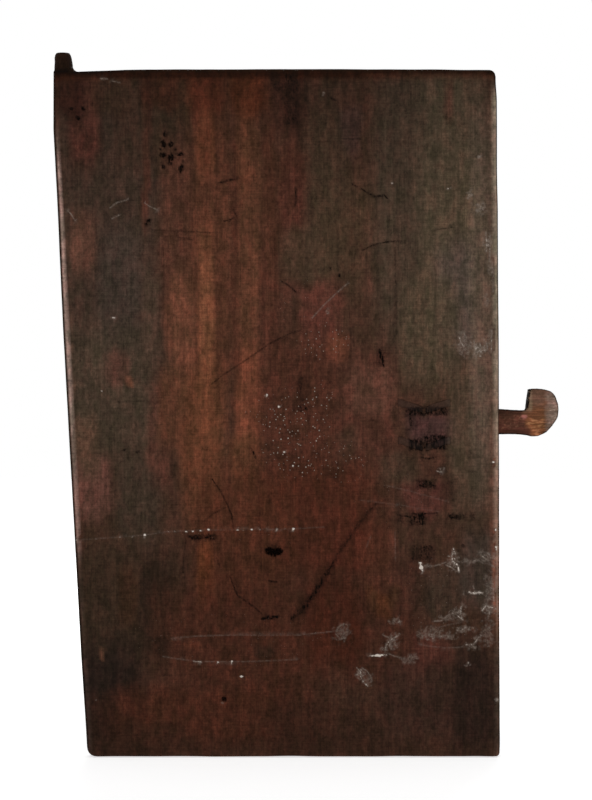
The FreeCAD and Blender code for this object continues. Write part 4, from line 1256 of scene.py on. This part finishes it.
def makeCase():
    form = caseForm
    half, back, front = form["beltHalf"], form["back"], form["front"]
    case = lockBlock("lockCase", (-half, half), (back, front), (form["foot"], form["crown"]))
    corners = caseCorners()
    for start, end in zip(corners, corners[1:] + corners[:1]):
        upright, foot = start[0] == end[0], start[1] == end[1] == form["foot"]
        if not (upright or foot):
            sliceLine(case, start, end)
    pick(case, "edges", lambda a, b: min(a[1], b[1]) > mm(front - slack))
    bpy.ops.mesh.bevel(offset=mm(form["frontWear"]), segments=2, affect="EDGES")
    leaveEdit()
    modify(case, "REMESH", mode="VOXEL", voxel_size=mm(form["voxel"]))
    points, normals = places(case), vertexNormals(case)
    hollow = form["dishDepth"] * (1 - scallops(points, form["dish"], 5.0)) ** 1.2
    hollow += uneven(points, form["wear"])
    points -= normals * (hollow * smooth(*form["wearFrom"], points[:, 1] - back))[:, None]
    points[:, 1] = points[:, 1].clip(back, front)
    putBack(case, points)
    carveCase(case)
    points = places(case)
    paint(case, "tone", caseTone(points))
    strength, *limits = form["sootAndShade"]
    paint(case, "sootAndShade", strength * smooth(*limits, wander(points, *form["sootPatch"])))
    hand(case, "leaf", "lock_case", adzedWood, 60)


makeCase()


def beatEnd(staple, leg, way, level):
    # the leg's end, beaten flat and turned over towards the other leg
    form, face = stapleForm, -caseForm["back"] + stapleForm["sunk"]
    near, far = leg - way * form["bar"] / 2, leg + way * form["reach"]
    plate = block("beatenEnd", (min(near, far), face, level - form["flat"] / 2),
                  (max(near, far), face + form["skin"], level + form["flat"] / 2))
    pick(plate, "edges", lambda a, b: abs(a[0] - b[0]) > mm(4))
    bpy.ops.mesh.subdivide(number_cuts=7)
    leaveEdit()
    points = places(plate)
    share = ((points[:, 0] - leg) * way / form["reach"]).clip(0, 1)
    pinch = 1 - form["pinch"] * smooth(0.75, 1.0, share)
    points[:, 2] = level + (points[:, 2] - level) * pinch - form["fall"] * share
    putBack(plate, points)
    carve(staple, plate, "UNION")


def makeStaple(name, node, level):
    form = stapleForm
    (left, right), half = form["legs"], form["bar"] / 2
    face, crown = -caseForm["back"], form["crown"]
    staple = block(name, (left - half, face + form["sunk"], level - half),
                   (right + half, crown, level + half))
    carve(staple, block("gapTool", (left + half, face - overrun, level - 9),
                        (right - half, crown - form["bar"], level + 9)))
    pick(staple, "edges", lambda a, b: abs(a[2] - b[2]) > mm(4) and a[1] > mm(crown - slack))
    bpy.ops.mesh.bevel(offset=mm(form["bend"]), segments=4, affect="EDGES")
    leaveEdit()
    breakEdges(staple, form["arris"])
    for leg, way in ((left, 1), (right, -1)):
        beatEnd(staple, leg, way, level)
    modify(staple, "REMESH", mode="VOXEL", voxel_size=mm(form["voxel"]))
    points, normals = places(staple), vertexNormals(staple)
    blows = form["blowDepth"] * (1 - scallops(points, [form["blow"]] * 3, level))
    points -= normals * (blows + uneven(points, (*form["wear"], level, 1)))[:, None]
    putBack(staple, points)
    # where they lie in the face the door's smoke and dirt cover them
    paint(staple, "tone", form["tone"] * plankColours(points, np.zeros(len(points))))
    paint(staple, "sootAndShade", (form["sootAndShade"] * stainShare(points)).clip(0, 1))
    paint(staple, "dirt", smooth(*form["dirt"], points[:, 1]))
    hand(staple, "leaf", node, forgedIron, 70)


for which, level in zip(("upper", "lower"), stapleForm["levels"]):
    makeStaple(which + "Staple", which + "_staple", level)


# lock bolt: a flat bar with a D-shaped head, notched for the tumblers over its keyway
boltForm = {
    "back": 12.3, "front": 32.3, "half": 13.3, "tail": -51.0, "reach": 115.8, "end": 508.9,
    "headRadius": 24.2, "headUp": 9.47, "flat": ((106.4, 13.3), (109.8, 32.9)),
    # the head is cut squarer than a disc at its upper corner and flatter below: the rise of
    # its upper half, and humps as angle, width and height
    "rise": 0.8, "lobes": ((0.85, 0.36, 2.5), (-0.70, 0.38, -1.55), (-1.8, 0.4, 1.2)),
    "notchHalf": 4.0, "notchDepth": 12.0, "seat": 3.3, "keywayFoot": -4.7, "keywayEnd": 19.75,
    "arris": 1.1, "voxel": 0.9, "topWear": 1.3,
    "rubbed": (0.10, (40, 12, 12), 2.0, 2), "chipped": (0.30, (7, 7, 7), 17.0, 3),
    "tone": "#50332a",
    # painted shade on what turns away from the eye, on the head's rim, the shank's edges and in the step
    # between
    "sootAndShade": 0.75, "shadeFrom": (70, 78), "shadeTurn": (0.86, 0.5), "shadeRim": (22.3, 23.6),
    "shadeShank": (11.4, 12.6), "step": (106.8, 0.17), "shadeStep": (2.6, 0.8), "stepUp": (12.0, 13.0),
}


def cutHead(points, local):
    # the head's rim moves out or in by the angle at which it lies round its middle
    form = boltForm
    across, up = local[:, 0] - form["reach"], local[:, 2] - form["headUp"]
    turn = np.arctan2(up, across)
    swell = form["rise"] * smooth(-0.25, 0.3, turn) * smooth(2.5, 2.0, turn)
    for middle, wide, height in form["lobes"]:
        swell += height * np.exp(-((turn - middle) / wide) ** 2)
    swell *= smooth(0.5, 0.95, np.hypot(across, up) / form["headRadius"])
    points[:, 0] = np.minimum(points[:, 0] + swell * np.cos(turn), form["end"])
    points[:, 2] += swell * np.sin(turn)


def boltTone(points, local):
    # the head is lighter where it is chipped and rubbed, the shank redder and darker along its top
    across, up = local[:, 0], local[:, 2]
    ragged = 3 * wander(points, (5, 8, 7), 3.0)
    streaks = smooth(-0.05, 0.4, wander(points, (7, 8, 1.7), 31.0, 2))
    flecks = smooth(0.1, 0.45, wander(points, (3, 8, 2.2), 47.0, 2))
    head = smooth(103, 110, across + 1.2 * ragged * (up < 12) + 0.25 * (up - 5))
    shank, rim = 1 - head, head * smooth(124, 132, across)
    knot = np.hypot((across - 104) / 4.0, (up - 5.5) / 3.2) + 0.1 * ragged
    shades = (
        # where the colour lies, how strongly, and the colour
        (smooth(2, 9, up + ragged) * shank, 0.7, "#3f2a20"),
        (smooth(4, -3, np.abs(up - 1) + ragged) * shank, 0.6, "#77463b"),
        (smooth(9, 5, np.abs(up)) * flecks * shank, 0.35, "#8a6450"),
        (smooth(-5, -10, up + ragged) * shank, 0.6, "#41261f"),
        (smooth(60, 20, across), 0.6, "#3b271d"),
        (head, 1.0, "#60402d"),
        (head * smooth(10, 22, up + 2 * ragged), 0.7, "#624b43"),
        (head * smooth(124, 132, across + ragged), 0.8, "#7c6a64"),
        (rim * flecks, 0.5, "#a5938c"),
        (head * smooth(114, 111, across + 0.5 * ragged) * smooth(8, 14, up), 0.7, "#7d6a5a"),
        (head * smooth(6, 0, up + 2 * ragged) * smooth(128, 116, across + 2 * ragged), 0.8, "#85563b"),
        (head * smooth(6, 1, up + ragged) * smooth(130, 120, across + ragged) * streaks, 0.6, "#b38360"),
        (head * smooth(-7, -13, up + ragged) * smooth(118, 126, across), 0.6, "#4d3a26"),
        (smooth(1.1, 0.7, knot), 0.85, "#8f605a"),
    )
    tone = plainTone(points, boltForm["tone"])
    for share, strength, colour in shades:
        tone = blend(tone, strength * share, colour)
    return tone, head


def boltPaintedShade(local, normals, worn, head):
    # painted shade on what turns away from the eye: the shank's edges, the head's rim and the step between
    form = boltForm
    across, up = local[:, 0], local[:, 2]
    fromMiddle = np.hypot(across - form["reach"], up - form["headUp"])
    rim = smooth(*form["shadeRim"], fromMiddle) * head
    shank = smooth(*form["shadeShank"], np.abs(up + 0.5 * worn)) * (1 - head)
    turned = smooth(*form["shadeTurn"], np.abs(normals[:, 1]))
    turned = np.maximum(np.maximum(turned, rim), shank)
    foot, lean = form["step"]
    fromStep = np.abs(across - foot - lean * (up - form["half"]))
    step = smooth(*form["shadeStep"], fromStep) * smooth(*form["stepUp"], up)
    return np.maximum(form["sootAndShade"] * turned * smooth(*form["shadeFrom"], across), step)


def boltBlank():
    # a bar with most of a disc as its head, mortised for the tumblers over the keyway
    form = boltForm
    back, front, tail, seat = form["back"], form["front"], form["tail"], form["seat"]
    bolt = lockBlock("lockBolt", (tail, form["reach"]), (back, front), (-form["half"], form["half"]))
    across, up = inLock(form["reach"], form["headUp"])
    bpy.ops.object.select_all(action="DESELECT")
    bpy.ops.mesh.primitive_cylinder_add(vertices=72, radius=mm(form["headRadius"]), depth=mm(front - back),
                                        location=(mm(across), mm((front + back) / 2), mm(up)),
                                        rotation=(math.pi / 2, 0, 0))
    head = settle(bpy.context.object)
    start, end = form["flat"]
    sliceLine(head, end, start)
    carve(bolt, head, "UNION")
    cutDepth = (back - overrun, back + form["notchDepth"])
    for place in tumblerForm["places"]:
        carve(bolt, lockBlock("mortiseTool", (place - form["notchHalf"], place + form["notchHalf"]),
                              cutDepth, (seat - 0.5, 40)))
    carve(bolt, lockBlock("keywayTool", (tail - 5, form["keywayEnd"]), cutDepth, (form["keywayFoot"], seat)))
    return bolt


def makeBolt():
    form, bolt = boltForm, boltBlank()
    breakEdges(bolt, form["arris"])
    modify(bolt, "REMESH", mode="VOXEL", voxel_size=mm(form["voxel"]))
    points, normals = places(bolt), vertexNormals(bolt)
    local = lockPoints(points)
    chipped = smooth(60, 100, local[:, 0]) * uneven(points, form["chipped"])
    points -= normals * (uneven(points, form["rubbed"]) + chipped)[:, None]
    # its top is worn lower towards the head
    worn = form["topWear"] * smooth(76, 104, local[:, 0]) * smooth(108, 106, local[:, 0])
    worn *= smooth(4, 13, local[:, 2])
    points[:, 2] -= worn
    cutHead(points, local)
    putBack(bolt, points)
    tone, inHead = boltTone(points, local)
    paint(bolt, "tone", tone)
    # the bolt's soot layer holds painted shade only
    paint(bolt, "sootAndShade", boltPaintedShade(local, normals, worn, inHead))
    hand(bolt, "bolt", "lock_bolt", rubbedWood, 60)


makeBolt()


def makeTumbler(n, across):
    # a square wooden pin whose nib stops it on the groove's step
    form = tumblerForm
    span = (across - form["half"], across + form["half"])
    pin = lockBlock(f"tumblerPin{n}", span, (form["back"], form["front"]), (form["foot"], form["top"]))
    nib = lockBlock("nib", span, (form["front"] - 3, form["nibFront"]), (form["nib"], form["top"]))
    carve(pin, nib, "UNION")
    breakEdges(pin, form["arris"])
    modify(pin, "REMESH", mode="VOXEL", voxel_size=mm(form["voxel"]))
    points, normals = places(pin), vertexNormals(pin)
    points -= normals * uneven(points, (form["wear"], (3, 3, 9), n * 5.0, 2))[:, None]
    putBack(pin, points)
    mottled = 1 + 0.2 * wander(points, (3, 3, 12), n * 3.0, 2)
    paint(pin, "tone", plainTone(points, form["tone"]) * mottled[:, None])
    hand(pin, f"tumbler_{n}", f"tumbler_pin_{n}", adzedWood)


for n, across in enumerate(tumblerForm["places"], start=1):
    makeTumbler(n, across)


# camera, floor and lamps, in metres and watts
studioForm = {
    "lens": 100.0, "sensor": 36.0, "middle": (0.2382, -0.3407), "away": 2.2787, "aim": (0.22, 0, -0.35),
    # place, size, power
    "lamps": {
        "softLeft": ((-1.6, -2.0, 0.9), 1.6, 16.5),
        "softRight": ((2.2, -1.6, 0.5), 1.4, 14.0),
        "softTop": ((0.2, -0.3, 2.2), 1.6, 6.0),
        "softBack": ((0.4, 2.4, 0.8), 1.8, 30.0),
    },
    "floor": 16.0, "floorUp": -0.7056, "paper": "#f4f4f4",
    "glow": (0.3, 1.3, 0.62, 1.0),                        # near and far, and how much it glows at each
    "soft": 0.21, "white": 1.0,                           # the world's light, and what the camera sees
}


def makeCamera():
    form = studioForm
    across, up = form["middle"]
    bpy.ops.object.camera_add(location=(across, -form["away"], up), rotation=(math.pi / 2, 0, 0))
    scene.camera = bpy.context.object
    scene.camera.name = "photoCamera"
    scene.camera.data.lens = form["lens"]
    scene.camera.data.sensor_width = form["sensor"]


def makeLamps():
    for name, (place, size, power) in studioForm["lamps"].items():
        bpy.ops.object.light_add(type="AREA", location=place)
        lamp = bpy.context.object
        lamp.name = name
        lamp.data.shape = "DISK"
        lamp.data.size = size
        lamp.data.energy = power
        aim = Vector(studioForm["aim"]) - Vector(place)
        lamp.rotation_euler = aim.to_track_quat("-Z", "Y").to_euler()


def makeFloor():
    form = studioForm
    bpy.ops.mesh.primitive_plane_add(size=form["floor"], location=(0.2, 0, form["floorUp"]))
    floor = bpy.context.object
    floor.name = "floor"
    # white studio paper: keeps the object's shadow near it, and shades to white away from it
    material, tree = newMaterial("studio paper")
    place = addNode(tree, "TexCoord").outputs["Object"]
    away = addNode(tree, "VectorMath", {"operation": "LENGTH"}, {0: place})
    near, far, least, most = form["glow"]
    glow = addNode(tree, "MapRange", {"From Min": near, "From Max": far, "To Min": least, "To Max": most},
                   {"Value": away.outputs["Value"]})
    shader = addNode(tree, "BsdfPrincipled", {"Base Color": form["paper"], "Roughness": 0.9,
                                              "Specular IOR Level": 0.0, "Emission Color": "#ffffff"},
                     {"Emission Strength": glow})
    addNode(tree, "OutputMaterial", links={"Surface": shader})
    floor.data.materials.append(material)


def makeWorld():
    # soft light for the object, plain white for what the camera and mirrors see
    world = bpy.data.worlds.new("studio")
    world.use_nodes = True
    scene.world = world
    tree = world.node_tree
    tree.nodes.clear()
    path = addNode(tree, "LightPath")
    seen = path.outputs["Is Camera Ray"]
    for ray in ("Is Glossy Ray", "Is Transmission Ray"):
        seen = addNode(tree, "Math", {"operation": "MAXIMUM"}, {0: seen, 1: path.outputs[ray]})
    soft, white = [addNode(tree, "Background", {"Color": "#ffffff", "Strength": studioForm[name]})
                   for name in ("soft", "white")]
    mixed = addNode(tree, "MixShader", links={0: seen, 1: soft, 2: white})
    addNode(tree, "OutputWorld", links={"Surface": mixed})


makeCamera()
makeLamps()
makeFloor()
makeWorld()
print("scene finished")
